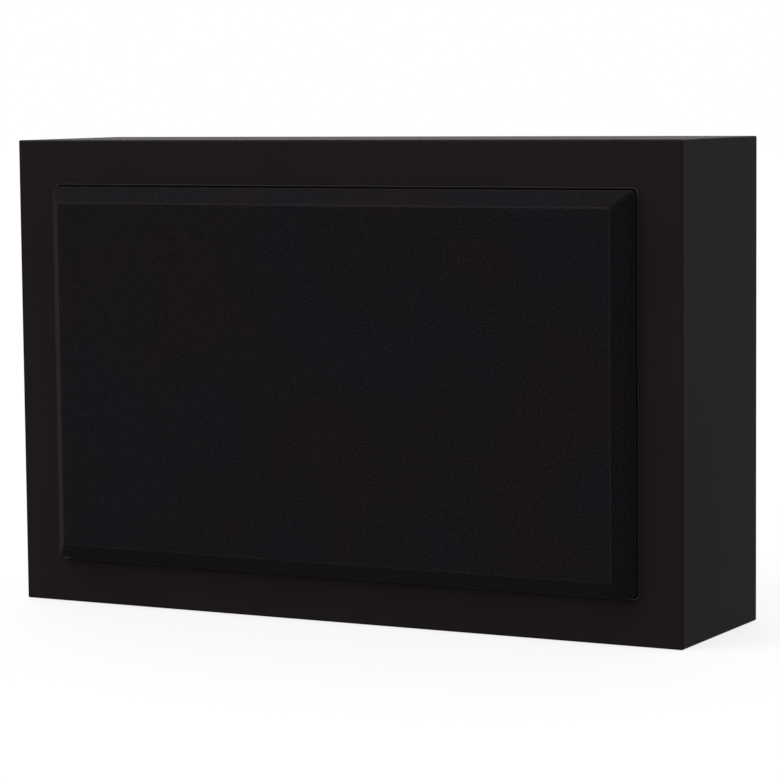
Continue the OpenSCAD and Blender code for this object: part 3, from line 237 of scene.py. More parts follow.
# A paler line is painted along the eased edge round the opening as a painted highlight, where that
# edge catches the light. The distance from the opening is that of a rectangle with round corners:
# the length of what lies past its corner centres, less the corner's radius.
cloth_low, cloth_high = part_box("grille_cloth")
cloth_gap, opening_turn = 0.001, 0.003
highlight_middle, highlight_core, highlight_end = 0.00045, 0.0002, 0.0005
corner_x = cloth_high.x + cloth_gap - opening_turn
corner_z = (cloth_high.z - cloth_low.z) / 2 + cloth_gap - opening_turn
tree = satin_lacquer.node_tree
surface = tree.nodes["Principled BSDF"]
axes = add(tree, "SeparateXYZ", inputs={0: add(tree, "TexCoord").outputs["Object"]})
aside = add(tree, "Math", {"operation": "ABSOLUTE"}, {0: axes.outputs["X"]})
aside = add(tree, "Math", {"operation": "SUBTRACT"}, {0: aside, 1: corner_x})
upward = add(tree, "Math", {"operation": "SUBTRACT"}, {
    0: axes.outputs["Z"], 1: (cloth_high.z + cloth_low.z) / 2})
upward = add(tree, "Math", {"operation": "ABSOLUTE"}, {0: upward})
upward = add(tree, "Math", {"operation": "SUBTRACT"}, {0: upward, 1: corner_z})
past_corner = add(tree, "CombineXYZ", inputs={
    0: add(tree, "Math", {"operation": "MAXIMUM"}, {0: aside, 1: 0.0}),
    1: add(tree, "Math", {"operation": "MAXIMUM"}, {0: upward, 1: 0.0})})
past_corner = add(tree, "VectorMath", {"operation": "LENGTH"}, {0: past_corner})
off_middle = add(tree, "Math", {"operation": "SUBTRACT"}, {
    0: past_corner.outputs["Value"], 1: opening_turn + highlight_middle})
off_middle = add(tree, "Math", {"operation": "ABSOLUTE"}, {0: off_middle})
# Painted highlight: a thin paler band along the opening's edge stands in for the light that edge
# catches.
painted_edge_highlight = add(tree, "MapRange", inputs={
    "Value": off_middle, "From Min": highlight_core, "From Max": highlight_end,
    "To Min": 0.65, "To Max": 0.0})
edge_highlight_tint = add(tree, "Mix", {"data_type": "RGBA"}, {
    0: painted_edge_highlight, 6: surface.inputs["Base Color"].links[0].from_socket, 7: linear("#5e595b")})
tree.links.new(edge_highlight_tint.outputs[2], surface.inputs["Base Color"])


# ---- Boards inside the cabinet
# The baffle and the back panel are fibreboard, rolled with matt black paint. The brace between
# them stays raw: sanded, pale brown, with short darker fibres pressed flat.

# Rolled paint: dull black, with the faint orange peel of the roller.
matt_paint = grained(
    "rolled_matt_black_paint", "#100f0f", "#1b1a19", 0.0018, (0.6, 0.78), 0.00012, specular=0.25)
dress(matt_paint, "baffle", "back_panel", "hanger_block_left", "hanger_block_right")

# Sanded fibreboard: warm pale brown and quite dull, with fibres drawn out upwards.
fibres_per_metre, mottles_per_metre = 1100.0, 60.0
fibreboard, tree, surface, place = new_material("sanded_fibreboard")
fibre_place = add(tree, "Mapping", inputs={"Vector": place, "Scale": (1.0, 1.0, 0.22)})
fibres = add(tree, "TexNoise", inputs={
    "Vector": fibre_place, "Scale": fibres_per_metre, "Detail": 4.0})
mottle = add(tree, "TexNoise", inputs={
    "Vector": place, "Scale": mottles_per_metre, "Detail": 3.0})
dark_fibre = add(tree, "MapRange", inputs={"Value": fibres, "From Min": 0.52, "From Max": 0.68})
board = add(tree, "Mix", {"data_type": "RGBA"}, {
    0: mottle, 6: linear("#7e6244"), 7: linear("#a1835f")})
board = add(tree, "Mix", {"data_type": "RGBA"}, {
    0: add(tree, "Math", {"operation": "MULTIPLY"}, {0: dark_fibre, 1: 0.55}),
    6: board.outputs[2], 7: linear("#584029")})
tree.links.new(board.outputs[2], surface.inputs["Base Color"])
tree.links.new(add(tree, "MapRange", inputs={
    "Value": fibres, "To Min": 0.72, "To Max": 0.9}).outputs[0], surface.inputs["Roughness"])
tree.links.new(add(tree, "Bump", inputs={
    "Strength": 0.5, "Distance": 0.00008, "Height": fibres}).outputs[0], surface.inputs["Normal"])
dress(fibreboard, "brace")


# ---- Wall hangers and bumpers
# Keyhole plates punched from sheet steel and zinc plated, with the faint blotches of the bath,
# screwed over blocks in the recess. Soft moulded rubber bumpers keep the rim off the wall.

# Zinc plating: a cool grey metal gleam, cloudy where crystals grew unevenly.
zinc_steel = grained(
    "zinc_plated_steel", "#84878a", "#aeb2b4", 0.0016, (0.3, 0.46), 0.00002,
    metallic=1.0, patch=0.009)
dress(zinc_steel, "hanger_plate_left", "hanger_plate_right", "hanger_screws")

# Moulded rubber: soft black, with hardly any shine.
soft_rubber = grained(
    "moulded_black_rubber", "#0f0f0f", "#1b1b1b", 0.0009, (0.62, 0.8), 0.00004, specular=0.3)
dress(soft_rubber, "wall_bumpers", "grille_cups")


# ---- Grille frame
# Injection-moulded ABS with a spark-eroded grain. It is all behind the cloth, and its pegs
# push into rubber cups in the baffle.

# Grained plastic: a fine pebble that breaks up every highlight.
moulded_plastic = grained(
    "grained_black_abs", "#101011", "#1b1b1d", 0.0007, (0.5, 0.66), 0.00005, specular=0.35)
dress(moulded_plastic, "grille_frame", "grille_pegs")


# ---- Grille cloth
# Black polyester knit, stretched over the frame's bevels and glued down behind it as a hem.
# Its edges are drawn to crisp but not sharp folds, and the bevels meet in mitres.
knit_low, knit_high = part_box("grille_cloth")
knit_half_x = (knit_high.x - knit_low.x) / 2
knit_half_z = (knit_high.z - knit_low.z) / 2
knit_mid_z = (knit_high.z + knit_low.z) / 2
knit_front, knit_back = knit_low.y, knit_high.y
knit_bevel, knit_shoulder, knit_hem = 0.0105, -0.1323, 0.012
knit_thick, knit_turn, knit_turn_least = 0.0008, 0.003, 0.0008
fold_margin = 0.006


def rounded_path(corners, radii, steps=6):
    """A bent line through corners, each corner replaced by a quadratic curve that starts and
    ends its radius away from it: (1-t)^2 a + 2t(1-t) c + t^2 b."""
    corners = np.asarray(corners, float)
    made = [corners[0]]
    t = np.linspace(0, 1, steps)[:, None]
    for before, c, after, r in zip(corners[:-2], corners[1:-1], corners[2:], radii):
        a = c + (before - c) * r / np.linalg.norm(before - c)
        b = c + (after - c) * r / np.linalg.norm(after - c)
        made.extend((1 - t) ** 2 * a + 2 * t * (1 - t) * c + t ** 2 * b)
    return np.array([*made, corners[-1]])


def rectangle_loop(half_x, half_z, r, along_x=72, along_z=44, turn=6):
    """A rectangle with round corners as a closed run of points: straight sides at even steps,
    and corners at even angles, the same number of points at any size."""
    runs = []
    for k, (cx, cz) in enumerate(((1, -1), (1, 1), (-1, 1), (-1, -1))):
        angle = np.radians(np.linspace(-90, 0, turn) + 90 * k)
        runs.append(np.stack([
            cx * (half_x - r) + r * np.cos(angle), cz * (half_z - r) + r * np.sin(angle)], -1))
    loop = []
    for k, count in enumerate((along_z, along_x, along_z, along_x)):
        loop.append(runs[k])
        t = np.linspace(0, 1, count + 1)[1:-1, None]
        loop.append((1 - t) * runs[k][-1] + t * runs[(k + 1) % 4][0])
    return np.concatenate(loop)


# Section from the edge of the flat front to the hem: inset from the outline, and place in Y.
edge_line = rounded_path(
    [(knit_bevel + fold_margin, knit_front), (knit_bevel, knit_front), (0, knit_shoulder),
     (0, knit_back), (knit_hem, knit_back)],
    [0.0012, 0.0016, 0.0009])
inner_insets = np.linspace(knit_half_z, knit_bevel + fold_margin, 9)[:-1]
insets = np.concatenate([inner_insets, edge_line[:, 0]])
section_y = np.concatenate([np.full(len(inner_insets), knit_front), edge_line[:, 1]])
rings = []
for inset, y in zip(insets, section_y):
    size_x, size_z = knit_half_x - inset, max(knit_half_z - inset, 0.0)
    corner = min(max(knit_turn_least, knit_turn - inset), size_z / 2)
    loop = rectangle_loop(size_x, size_z, corner)
    rings.append(np.stack([loop[:, 0], np.full(len(loop), y), loop[:, 1] + knit_mid_z], -1))
cloth_points = np.concatenate(rings)

# Places on the flat cloth: over the front they are the same, and past its edge they run on by
# the length of the section, so the knit keeps its size round every fold and meets in mitres.
section = np.stack([insets, section_y], -1)
run = np.concatenate([[0], np.cumsum(np.linalg.norm(np.diff(section, axis=0), axis=1))])
past = np.repeat(run - run[len(inner_insets)], len(rings[0]))
flat_edge_x = knit_half_x - knit_bevel - fold_margin
flat_edge_z = knit_half_z - knit_bevel - fold_margin

# Polyester knit: soft and matt, with wales and courses as sine waves that lean on one another,
# pale fibre ends here and there, and a slow drift between a warm and a cool black. A paler line
# along the folds is a painted highlight, where the rounded folds catch the light. A real one is
# finer: it is as coarse as it needs to show.
wale_pitch, course_pitch = 0.0010, 0.0008
strays_per_metre, specks_per_metre, drifts_per_metre, ends_per_metre = 240.0, 700.0, 9.0, 1500.0
knit, tree, surface, _ = new_material("black_polyester_knit")
flat = add(tree, "UVMap", {"uv_map": "flat_cloth"})
stray = add(tree, "TexNoise", inputs={
    "Vector": flat, "Scale": strays_per_metre, "Detail": 2.0})
axes = add(tree, "SeparateXYZ", inputs={0: flat})
across = add(tree, "Math", {"operation": "MULTIPLY"}, {
    0: axes.outputs["X"], 1: 2 * math.pi / wale_pitch})
across = add(tree, "Math", {"operation": "MULTIPLY_ADD"}, {0: stray, 1: 1.6, 2: across})
wale = add(tree, "Math", {"operation": "SINE"}, {0: across})
upward = add(tree, "Math", {"operation": "MULTIPLY"}, {
    0: axes.outputs["Y"], 1: 2 * math.pi / course_pitch})
upward = add(tree, "Math", {"operation": "MULTIPLY_ADD"}, {0: wale, 1: 1.3, 2: upward})
course = add(tree, "Math", {"operation": "SINE"}, {0: upward})
loops = add(tree, "Math", {"operation": "MULTIPLY_ADD"}, {0: wale, 1: 0.55, 2: course})
loops = add(tree, "MapRange", inputs={"Value": loops, "From Min": -1.4, "From Max": 1.4})
speck = add(tree, "TexNoise", inputs={
    "Vector": flat, "Scale": specks_per_metre, "Detail": 3.0, "Roughness": 0.7})
shadowed = add(tree, "MapRange", inputs={"Value": speck, "From Min": 0.36, "From Max": 0.66})
tone = add(tree, "Math", {"operation": "MULTIPLY"}, {0: loops, 1: 0.4})
tone = add(tree, "Math", {"operation": "MULTIPLY_ADD"}, {0: shadowed, 1: 0.6, 2: tone})
drift = add(tree, "TexNoise", inputs={
    "Vector": flat, "Scale": drifts_per_metre, "Detail": 2.0})
drift = add(tree, "MapRange", inputs={"Value": drift, "From Min": 0.38, "From Max": 0.62})
deep = add(tree, "Mix", {"data_type": "RGBA"}, {
    0: drift, 6: linear("#070709"), 7: linear("#090708")})
bright = add(tree, "Mix", {"data_type": "RGBA"}, {
    0: drift, 6: linear("#1e1b21"), 7: linear("#211b20")})
thread = add(tree, "Mix", {"data_type": "RGBA"}, {
    0: tone, 6: deep.outputs[2], 7: bright.outputs[2]})
fibre_end = add(tree, "TexNoise", inputs={
    "Vector": flat, "Scale": ends_per_metre, "Detail": 1.0})
fibre_end = add(tree, "MapRange", inputs={
    "Value": fibre_end, "From Min": 0.58, "From Max": 0.76, "To Max": 0.42})
thread = add(tree, "Mix", {"data_type": "RGBA"}, {
    0: fibre_end, 6: thread.outputs[2], 7: linear("#5b5459")})
out_x = add(tree, "Math", {"operation": "ABSOLUTE"}, {0: axes.outputs["X"]})
out_x = add(tree, "Math", {"operation": "SUBTRACT"}, {0: out_x, 1: knit_half_x - knit_bevel})
out_z = add(tree, "Math", {"operation": "ABSOLUTE"}, {0: axes.outputs["Y"]})
out_z = add(tree, "Math", {"operation": "SUBTRACT"}, {0: out_z, 1: knit_half_z - knit_bevel})
from_fold = add(tree, "Math", {"operation": "MAXIMUM"}, {0: out_x, 1: out_z})
from_fold = add(tree, "Math", {"operation": "ABSOLUTE"}, {0: from_fold})
# Painted highlight: a paler line along each fold, where the rounded cloth would catch the light.
fold_highlight = add(tree, "MapRange", inputs={
    "Value": from_fold, "From Min": 0.0002, "From Max": 0.0009, "To Min": 0.2, "To Max": 0.0})
thread = add(tree, "Mix", {"data_type": "RGBA"}, {
    0: fold_highlight, 6: thread.outputs[2], 7: linear("#454043")})
tree.links.new(thread.outputs[2], surface.inputs["Base Color"])
tree.links.new(add(tree, "MapRange", inputs={
    "Value": tone, "To Min": 0.95, "To Max": 0.78}).outputs[0], surface.inputs["Roughness"])
tree.links.new(add(tree, "Bump", inputs={
    "Strength": 0.7, "Distance": 0.00025, "Height": tone}).outputs[0], surface.inputs["Normal"])
surface.inputs["Specular IOR Level"].default_value = 0.05
surface.inputs["Sheen Weight"].default_value = 0.02
surface.inputs["Sheen Roughness"].default_value = 0.45

cloth_faces = grid_faces(len(rings), len(rings[0]), wrap=True)
cloth = mesh_piece("grille_knit", cloth_points, cloth_faces, knit)
corners = np.zeros(len(cloth.data.loops), int)
cloth.data.loops.foreach_get("vertex_index", corners)
x, z, beyond = cloth_points[corners, 0], cloth_points[corners, 2] - knit_mid_z, past[corners]
middle = cloth_points[corners.reshape(-1, 4)].mean(1)
on_long_side = np.abs(middle[:, 2] - knit_mid_z) - knit_half_z > np.abs(middle[:, 0]) - knit_half_x
on_long_side = np.repeat(on_long_side, 4)
flat_x = np.where((beyond > 0) & ~on_long_side, np.sign(x) * (flat_edge_x + beyond), x)
flat_z = np.where((beyond > 0) & on_long_side, np.sign(z) * (flat_edge_z + beyond), z)
uv = cloth.data.uv_layers.new(name="flat_cloth")
uv.data.foreach_set("uv", np.stack([flat_x, flat_z], -1).ravel())
shape = bmesh.new()
shape.from_mesh(cloth.data)
bmesh.ops.remove_doubles(shape, verts=shape.verts, dist=1e-6)
bmesh.ops.dissolve_degenerate(shape, edges=shape.edges, dist=1e-7)
flat_front = [f for f in shape.faces if f.calc_center_median().y < knit_front + 1e-5]
if sum(f.normal.y * f.calc_area() for f in flat_front) > 0:
    bmesh.ops.reverse_faces(shape, faces=shape.faces)
shape.to_mesh(cloth.data)
shape.free()
wall = cloth.modifiers.new("thickness", "SOLIDIFY")
wall.thickness = knit_thick
wall.offset = -1.0
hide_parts("grille_cloth")
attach(cloth, "grille")


# ---- Driver basket
# Die-cast alloy with eight spokes, powder coated black. A foam ring seals its flange to the
# baffle, black zinc socket-head screws hold it, and brass tags take the leads.

# Powder coat: black with a low gloss and a fine, even pebble.
powder_coat = grained(
    "black_powder_coat", "#141516", "#232427", 0.0013, (0.42, 0.6), 0.00009, specular=0.4)
dress(powder_coat, "driver_basket")

# Closed-cell foam: dead matt, pitted where cells are cut open.
foam = grained(
    "closed_cell_foam", "#0a0a0a", "#161616", 0.0006, (0.85, 0.97), 0.00015, specular=0.2)
dress(foam, "driver_seal", "amplifier_seal")

# Black zinc: almost black, with the gleam of metal under it.
black_zinc = grained(
    "black_zinc_steel", "#131314", "#242427", 0.0009, (0.34, 0.5), 0.00002,
    metallic=0.7, patch=0.006)
dress(black_zinc, "driver_screws", "amplifier_screws")

# Stamped brass: yellow metal, with faint rolling marks.
bright_brass = grained(
    "stamped_bright_brass", "#a98443", "#c9a661", 0.0008, (0.24, 0.4), 0.00001, metallic=1.0,
    stretch=(0.3, 1, 1), patch=0.006)
dress(bright_brass, "driver_terminals")


# ---- Surround and spider
# The surround is a half-roll of moulded butyl rubber, and the spider a corrugated disc of
# resin-treated cloth. Both join the moving cone to the basket, and each is made in sectors
# turned round the driver's axis.
cone_low, cone_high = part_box("cone")
axis_x = (cone_low.x + cone_high.x) / 2
axis_z = (cone_low.z + cone_high.z) / 2
sector_count = 24


def face_outward(piece):
    """Turns all faces of a closed mesh outwards."""
    shape = bmesh.new()
    shape.from_mesh(piece.data)
    bmesh.ops.recalc_face_normals(shape, faces=shape.faces)
    shape.to_mesh(piece.data)
    shape.free()


def turned_sector(name, section, start, end, material, steps=6):
    """A closed section of radius and place in Y, carried round the driver's axis from one angle
    to another: x = axis + r cos a, z = axis + r sin a. Both ends are closed with flat faces."""
    angles = np.linspace(start, end, steps + 1)[:, None]
    radius, y = section[:, 0][None], section[:, 1][None]
    points = np.stack([
        axis_x + radius * np.cos(angles), y + 0 * angles, axis_z + radius * np.sin(angles)], -1)
    n = len(section)
    faces = grid_faces(steps + 1, n, wrap=True)
    faces += [list(range(n)), list(range(steps * n + n - 1, steps * n - 1, -1))]
    piece = mesh_piece(name, points.reshape(-1, 3), faces, material)
    face_outward(piece)
    piece.data.set_sharp_from_angle(angle=math.radians(50))
    return piece


def flexing_ring(name, node, section, material):
    """Sectors of a ring, turned round the driver's axis side by side and baked in place; the CAD
    node they stand for is hidden."""
    wide = 2 * math.pi / sector_count
    for k in range(sector_count):
        middle = (k + 0.5) * wide
        piece = turned_sector(
            f"{name}_{k + 1}", section, middle - wide / 2, middle + wide / 2, material)
        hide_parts(node)
        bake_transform(piece)


# Butyl rubber: smooth from a polished mould, with a soft, dull shine.
butyl = grained("butyl_rubber", "#121213", "#1b1b1d", 0.0012, (0.4, 0.52), 0.00003, specular=0.45)
roll_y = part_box("surround")[1].y
roll_middle, roll_radius, roll_thick = 0.087, 0.0075, 0.001
land_inner, land_outer = 0.076, 0.0987
lift = math.asin(roll_thick / roll_radius)
outside = np.linspace(math.pi - lift, lift, 25)
inside = np.linspace(0, math.pi, 25)
roll_section = np.concatenate([
    [(land_inner, roll_y), (land_inner, roll_y - roll_thick)],
    np.stack([roll_middle + roll_radius * np.cos(outside),
              roll_y - roll_radius * np.sin(outside)], -1),
    [(land_outer, roll_y - roll_thick), (land_outer, roll_y)],
    np.stack([roll_middle + (roll_radius - roll_thick) * np.cos(inside),
              roll_y - (roll_radius - roll_thick) * np.sin(inside)], -1),
])
flexing_ring("surround_roll", "surround", roll_section,
             material=butyl)

# Resin-treated cotton: amber and half matt, in an open plain weave that is drawn as coarse as it
# needs to show.
thread_pitch = 0.0009
threads = 2 * math.pi / thread_pitch
treated_cloth, tree, surface, place = new_material("resin_treated_cotton")
axes = add(tree, "SeparateXYZ", inputs={0: place})
warp = add(tree, "Math", {"operation": "MULTIPLY"}, {0: axes.outputs["X"], 1: threads})
warp = add(tree, "Math", {"operation": "SINE"}, {0: warp})
weft = add(tree, "Math", {"operation": "MULTIPLY"}, {0: axes.outputs["Z"], 1: threads})
weft = add(tree, "Math", {"operation": "SINE"}, {0: weft})
weave = add(tree, "MapRange", inputs={
    "Value": add(tree, "Math", {"operation": "MULTIPLY"}, {0: warp, 1: weft}), "From Min": -1.0})
amber = add(tree, "Mix", {"data_type": "RGBA"}, {
    0: weave, 6: linear("#8a6425"), 7: linear("#c39b4c")})
tree.links.new(amber.outputs[2], surface.inputs["Base Color"])
tree.links.new(add(tree, "Bump", inputs={
    "Strength": 0.6, "Distance": 0.0001, "Height": weave}).outputs[0], surface.inputs["Normal"])
tree.links.new(add(tree, "MapRange", inputs={
    "Value": weave, "To Min": 0.7, "To Max": 0.5}).outputs[0], surface.inputs["Roughness"])
spider_thick, spider_inner, spider_outer = 0.0007, 0.0194, 0.0655
wave_from, wave_to, wave_count, wave_height = 0.0231, 0.0550, 5, 0.0016
spider_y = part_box("spider")[1].y - wave_height
spider_radii = np.linspace(spider_inner, spider_outer, 70)
share = np.clip((spider_radii - wave_from) / (wave_to - wave_from), 0, 1)
spider_line = spider_y - wave_height * np.sin(2 * math.pi * wave_count * share)
spider_section = np.concatenate([
    np.stack([spider_radii, spider_line], -1),
    np.stack([spider_radii, spider_line - spider_thick], -1)[::-1],
])
flexing_ring("spider_disc", "spider", spider_section,
             material=treated_cloth)


# ---- Cone, dust cap and coil
# The cone is pressed paper pulp, coated black on its front, with fine fibres felted every way.
# The cap is a thin satin dome. The coil is enamelled copper on a former of amber film.

# Coated pulp: soft black, with the felted fibres raised in it.
coated_pulp = grained(
    "coated_paper_pulp", "#121213", "#202022", 0.0021, (0.52, 0.72), 0.00014, specular=0.3)
dress(coated_pulp, "cone")

# Satin dome: smooth and evenly lit, with one soft highlight.
satin_dome = grained(
    "satin_black_dome", "#101011", "#19191b", 0.0007, (0.34, 0.44), 0.00002, specular=0.45)
dress(satin_dome, "dust_cap")

# Polyimide film: amber, with a tight, wet-looking shine.
amber_film = grained(
    "amber_polyimide_film", "#9c6a22", "#c08a3a", 0.0012, (0.2, 0.34), 0.00001, specular=0.5)
dress(amber_film, "voice_coil_former")

# Enamelled copper: red-brown metal in close turns, drawn coarser than the wire so that they show.
wire_pitch = 0.0005
copper_wire, tree, surface, place = new_material("enamelled_copper_wire")
axes = add(tree, "SeparateXYZ", inputs={0: place})
turns = add(tree, "Math", {"operation": "MULTIPLY"}, {
    0: axes.outputs["Y"], 1: 2 * math.pi / wire_pitch})
turns = add(tree, "Math", {"operation": "SINE"}, {0: turns})
turns = add(tree, "MapRange", inputs={"Value": turns, "From Min": -1.0})
wire = add(tree, "Mix", {"data_type": "RGBA"}, {
    0: turns, 6: linear("#6d2f17"), 7: linear("#c0653a")})
tree.links.new(wire.outputs[2], surface.inputs["Base Color"])
tree.links.new(add(tree, "Bump", inputs={
    "Strength": 0.8, "Distance": 0.0002, "Height": turns}).outputs[0], surface.inputs["Normal"])
surface.inputs["Metallic"].default_value = 1.0
surface.inputs["Roughness"].default_value = 0.32
dress(copper_wire, "voice_coil")


# ---- Magnet and steel plates
# A ring of ground ferrite, dark grey with a dull gleam and a chalky grain, between two machined
# steel plates with a bright zinc finish.

# Ground ferrite: dark grey, half matt, with a chalky grain.
ferrite = grained("ground_ferrite", "#26282b", "#3c3f43", 0.0009, (0.46, 0.7), 0.00005)
dress(ferrite, "magnet")

# Machined steel under zinc: a bright metal, with a fine grain and slow clouds.
machined_steel = grained(
    "machined_zinc_steel", "#7d8083", "#a6a9ac", 0.0007, (0.26, 0.42), 0.00001,
    metallic=1.0, patch=0.012)
dress(machined_steel, "top_plate", "back_plate")


# ---- Amplifier plate
# Folded sheet steel with a sand-textured black powder coat. White marks round the two knobs
# are printed on. The heat sink is extruded aluminium, anodised black, drawn along its fins.

# Sand-textured powder coat: matt black grit that catches the light in points.
sand_coat = grained(
    "sand_textured_powder_coat", "#131415", "#242628", 0.0009, (0.5, 0.72), 0.00014, specular=0.4)
dress(sand_coat, "amplifier_plate")

# Black anodising: a dark, silky metal, streaked along the extrusion.
anodised = grained(
    "black_anodised_extrusion", "#101113", "#1f2124", 0.0006, (0.3, 0.44), 0.00002, metallic=0.6,
    stretch=(1, 1, 0.03), patch=0.03)
dress(anodised, "heat_sink")

plate_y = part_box("control_nuts")[1].y

# Print ink: flat white, a little uneven over the grit.
print_ink = grained(
    "white_print_ink", "#c9c9c6", "#e6e6e2", 0.0005, (0.5, 0.65), 0.00001, specular=0.4)
mark_half_width, mark_extra, mark_sunk, mark_raised = 0.00035, 0.0008, 0.00004, 0.00006


def dial_marks(name, node, body="enclosure", count=11, sweep=300.0, inner=0.0116, outer=0.0132):
    """Short printed bars round a knob, as thin blocks at even angles from the low stop to the
    high one: each corner is the knob's centre + r (sin a, cos a) +- half a width sideways. Every
    fifth one is longer."""
    low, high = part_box(node)
    centre_x, centre_z = (low.x + high.x) / 2, (low.z + high.z) / 2
    angle = np.radians(np.linspace(-sweep / 2, sweep / 2, count))
    along = np.stack([np.sin(angle), np.cos(angle)], -1)
    side = np.stack([along[:, 1], -along[:, 0]], -1) * mark_half_width
    reach = np.where(np.arange(count) % 5 == 0, outer + mark_extra, outer)[:, None]
    flat_corners = np.stack([along * inner - side, along * inner + side,
                             along * reach + side, along * reach - side], 1)
    sunk_y, raised_y = plate_y - mark_sunk, plate_y + mark_raised
    points = np.stack([
        np.concatenate([flat_corners[..., 0] + centre_x] * 2, 1),
        np.repeat([[sunk_y] * 4 + [raised_y] * 4], count, 0),
        np.concatenate([flat_corners[..., 1] + centre_z] * 2, 1)], -1)
    block = np.array([
        (0, 1, 2, 3), (7, 6, 5, 4), (0, 4, 5, 1), (1, 5, 6, 2), (2, 6, 7, 3), (3, 7, 4, 0)])
    faces = (np.arange(count)[:, None, None] * 8 + block).reshape(-1, 4).tolist()
    piece = mesh_piece(name, points.reshape(-1, 3), faces, print_ink)
    face_outward(piece)
    piece.data.polygons.foreach_set("use_smooth", np.zeros(len(piece.data.polygons), bool))
    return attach(piece, body)


dial_marks("level_marks", "level_knob")
dial_marks("crossover_marks", "crossover_knob")


# ---- Amplifier's inside
# Green solder-resist boards on nylon standoffs, moulded power devices, and a ring transformer
# wound in copper and wrapped in clear yellow film between rubber pads.

# Solder resist: glossy green, mottled by the copper under it.
solder_resist = grained("green_solder_resist", "#0b3a20", "#15532f", 0.0016, (0.24, 0.38), 0.00003)
dress(solder_resist, "control_board", "power_board")

# Moulded epoxy: charcoal, with a dull, fine grain.
epoxy = grained("moulded_epoxy", "#151618", "#222427", 0.0005, (0.46, 0.6), 0.00002, specular=0.4)
dress(epoxy, "power_transistors", "level_control", "crossover_control")
dress(epoxy, "phase_switch", "mode_switch")

# Natural nylon: a milky straw colour with a soft shine.
nylon = grained("natural_nylon", "#b9a878", "#d2c293", 0.0012, (0.4, 0.52), 0.00002)
dress(nylon, "board_standoffs")
dress(soft_rubber, "transformer_pads")
dress(zinc_steel, "transformer_bolt", "transformer_dish")

# Yellow film over copper: bands of wire that show through under a sharp shine.
film_wrap = grained(
    "yellow_film_over_copper", "#8d5f22", "#d9ae45", 0.0042, (0.16, 0.34), 0.00025,
    stretch=(1, 0.25, 1))
dress(film_wrap, "transformer")

# Shrunk sleeve: blue-black and glossy, tight over the can.
shrink_sleeve = grained(
    "shrunk_dark_sleeve", "#0d0e15", "#191b26", 0.0025, (0.22, 0.36), 0.00003,
    stretch=(1, 0.3, 1))
dress(shrink_sleeve, "reservoir_capacitors")


# ---- Controls
# Knobs and levers are moulded in satin black ABS over nickel-plated shafts and nuts. The
# mains rocker is glossier. A white line lies in each knob's groove.

# Satin ABS: black, with one broad highlight along each flute.
satin_knob = grained(
    "satin_black_abs", "#0e0e0f", "#171718", 0.0006, (0.36, 0.46), 0.00002, specular=0.45)
dress(satin_knob, "level_knob", "crossover_knob", "phase_lever", "mode_lever")

# Nickel plate: a warm, pale metal that mirrors what is near.
nickel = grained(
    "nickel_plate", "#a6a59f", "#c2c0b8", 0.001, (0.16, 0.28), 0.00001, metallic=1.0, patch=0.008)
dress(nickel, "level_shaft", "crossover_shaft", "control_nuts", "inlet_pins")

# Glossy nylon: black, with small sharp highlights.
glossy_plastic = grained(
    "glossy_black_nylon", "#0b0b0c", "#131314", 0.0014, (0.18, 0.28), 0.00001, specular=0.5)
dress(glossy_plastic, "mains_switch", "mains_rocker", "mains_inlet")

line_half, line_start, line_from_rim = 0.00042, 0.0010, 0.0024
line_gap, line_thick = 0.00022, 0.00026


def pointer_line(name, node, body):
    """A slim white bar in the groove on a knob's face, from near its middle to its rim; its two
    ends are half circles drawn with a cosine and a sine."""
    low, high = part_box(node)
    centre_x, centre_z = (low.x + high.x) / 2, (low.z + high.z) / 2
    radius = (high.x - low.x) / 2
    line_finish = radius - line_from_rim
    angle = np.linspace(0, math.pi, 9)
    end_x, end_z = line_half * np.cos(angle), line_half * np.sin(angle)
    top = np.stack([end_x, line_finish + end_z], -1)
    bottom = np.stack([-end_x, line_start - end_z], -1)
    outline = np.concatenate([top, bottom])
    n = len(outline)
    face_y = high.y + line_gap
    layers = [np.stack([centre_x + outline[:, 0], np.full(n, y), centre_z + outline[:, 1]], -1)
              for y in (face_y, face_y + line_thick)]
    faces = grid_faces(2, n, wrap=True) + [list(range(n)), list(range(2 * n - 1, n - 1, -1))]
    piece = mesh_piece(name, np.concatenate(layers), faces, print_ink)
    face_outward(piece)
    piece.data.polygons.foreach_set("use_smooth", np.zeros(len(piece.data.polygons), bool))
    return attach(piece, body)


pointer_line("level_pointer", "level_knob", "level_dial")
pointer_line("crossover_pointer", "crossover_knob", "crossover_dial")

# Indicator lens: clear acrylic with a blue tint, so light passes through and its edge shines.
lens = grained(
    "tinted_acrylic_lens", "#4d86b8", "#7fb7e8", 0.0008, (0.1, 0.18), 0.00001,
    Transmission_Weight=0.55)
dress(lens, "status_light")


# ---- Sockets
# Two audio sockets in the roof of the plug bay, facing down. Their turned shells are plated with
# gold, and their moulded cores are white for the left channel and red for the right.

# Gold plate: yellow metal with a clean shine.
gold = grained(
    "gilt_shell_plate", "#b08a3e", "#d0ab5c", 0.0009, (0.18, 0.3), 0.00001,
    metallic=1.0, patch=0.006)
dress(gold, "audio_shells")
sockets_low, sockets_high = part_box("audio_sockets")

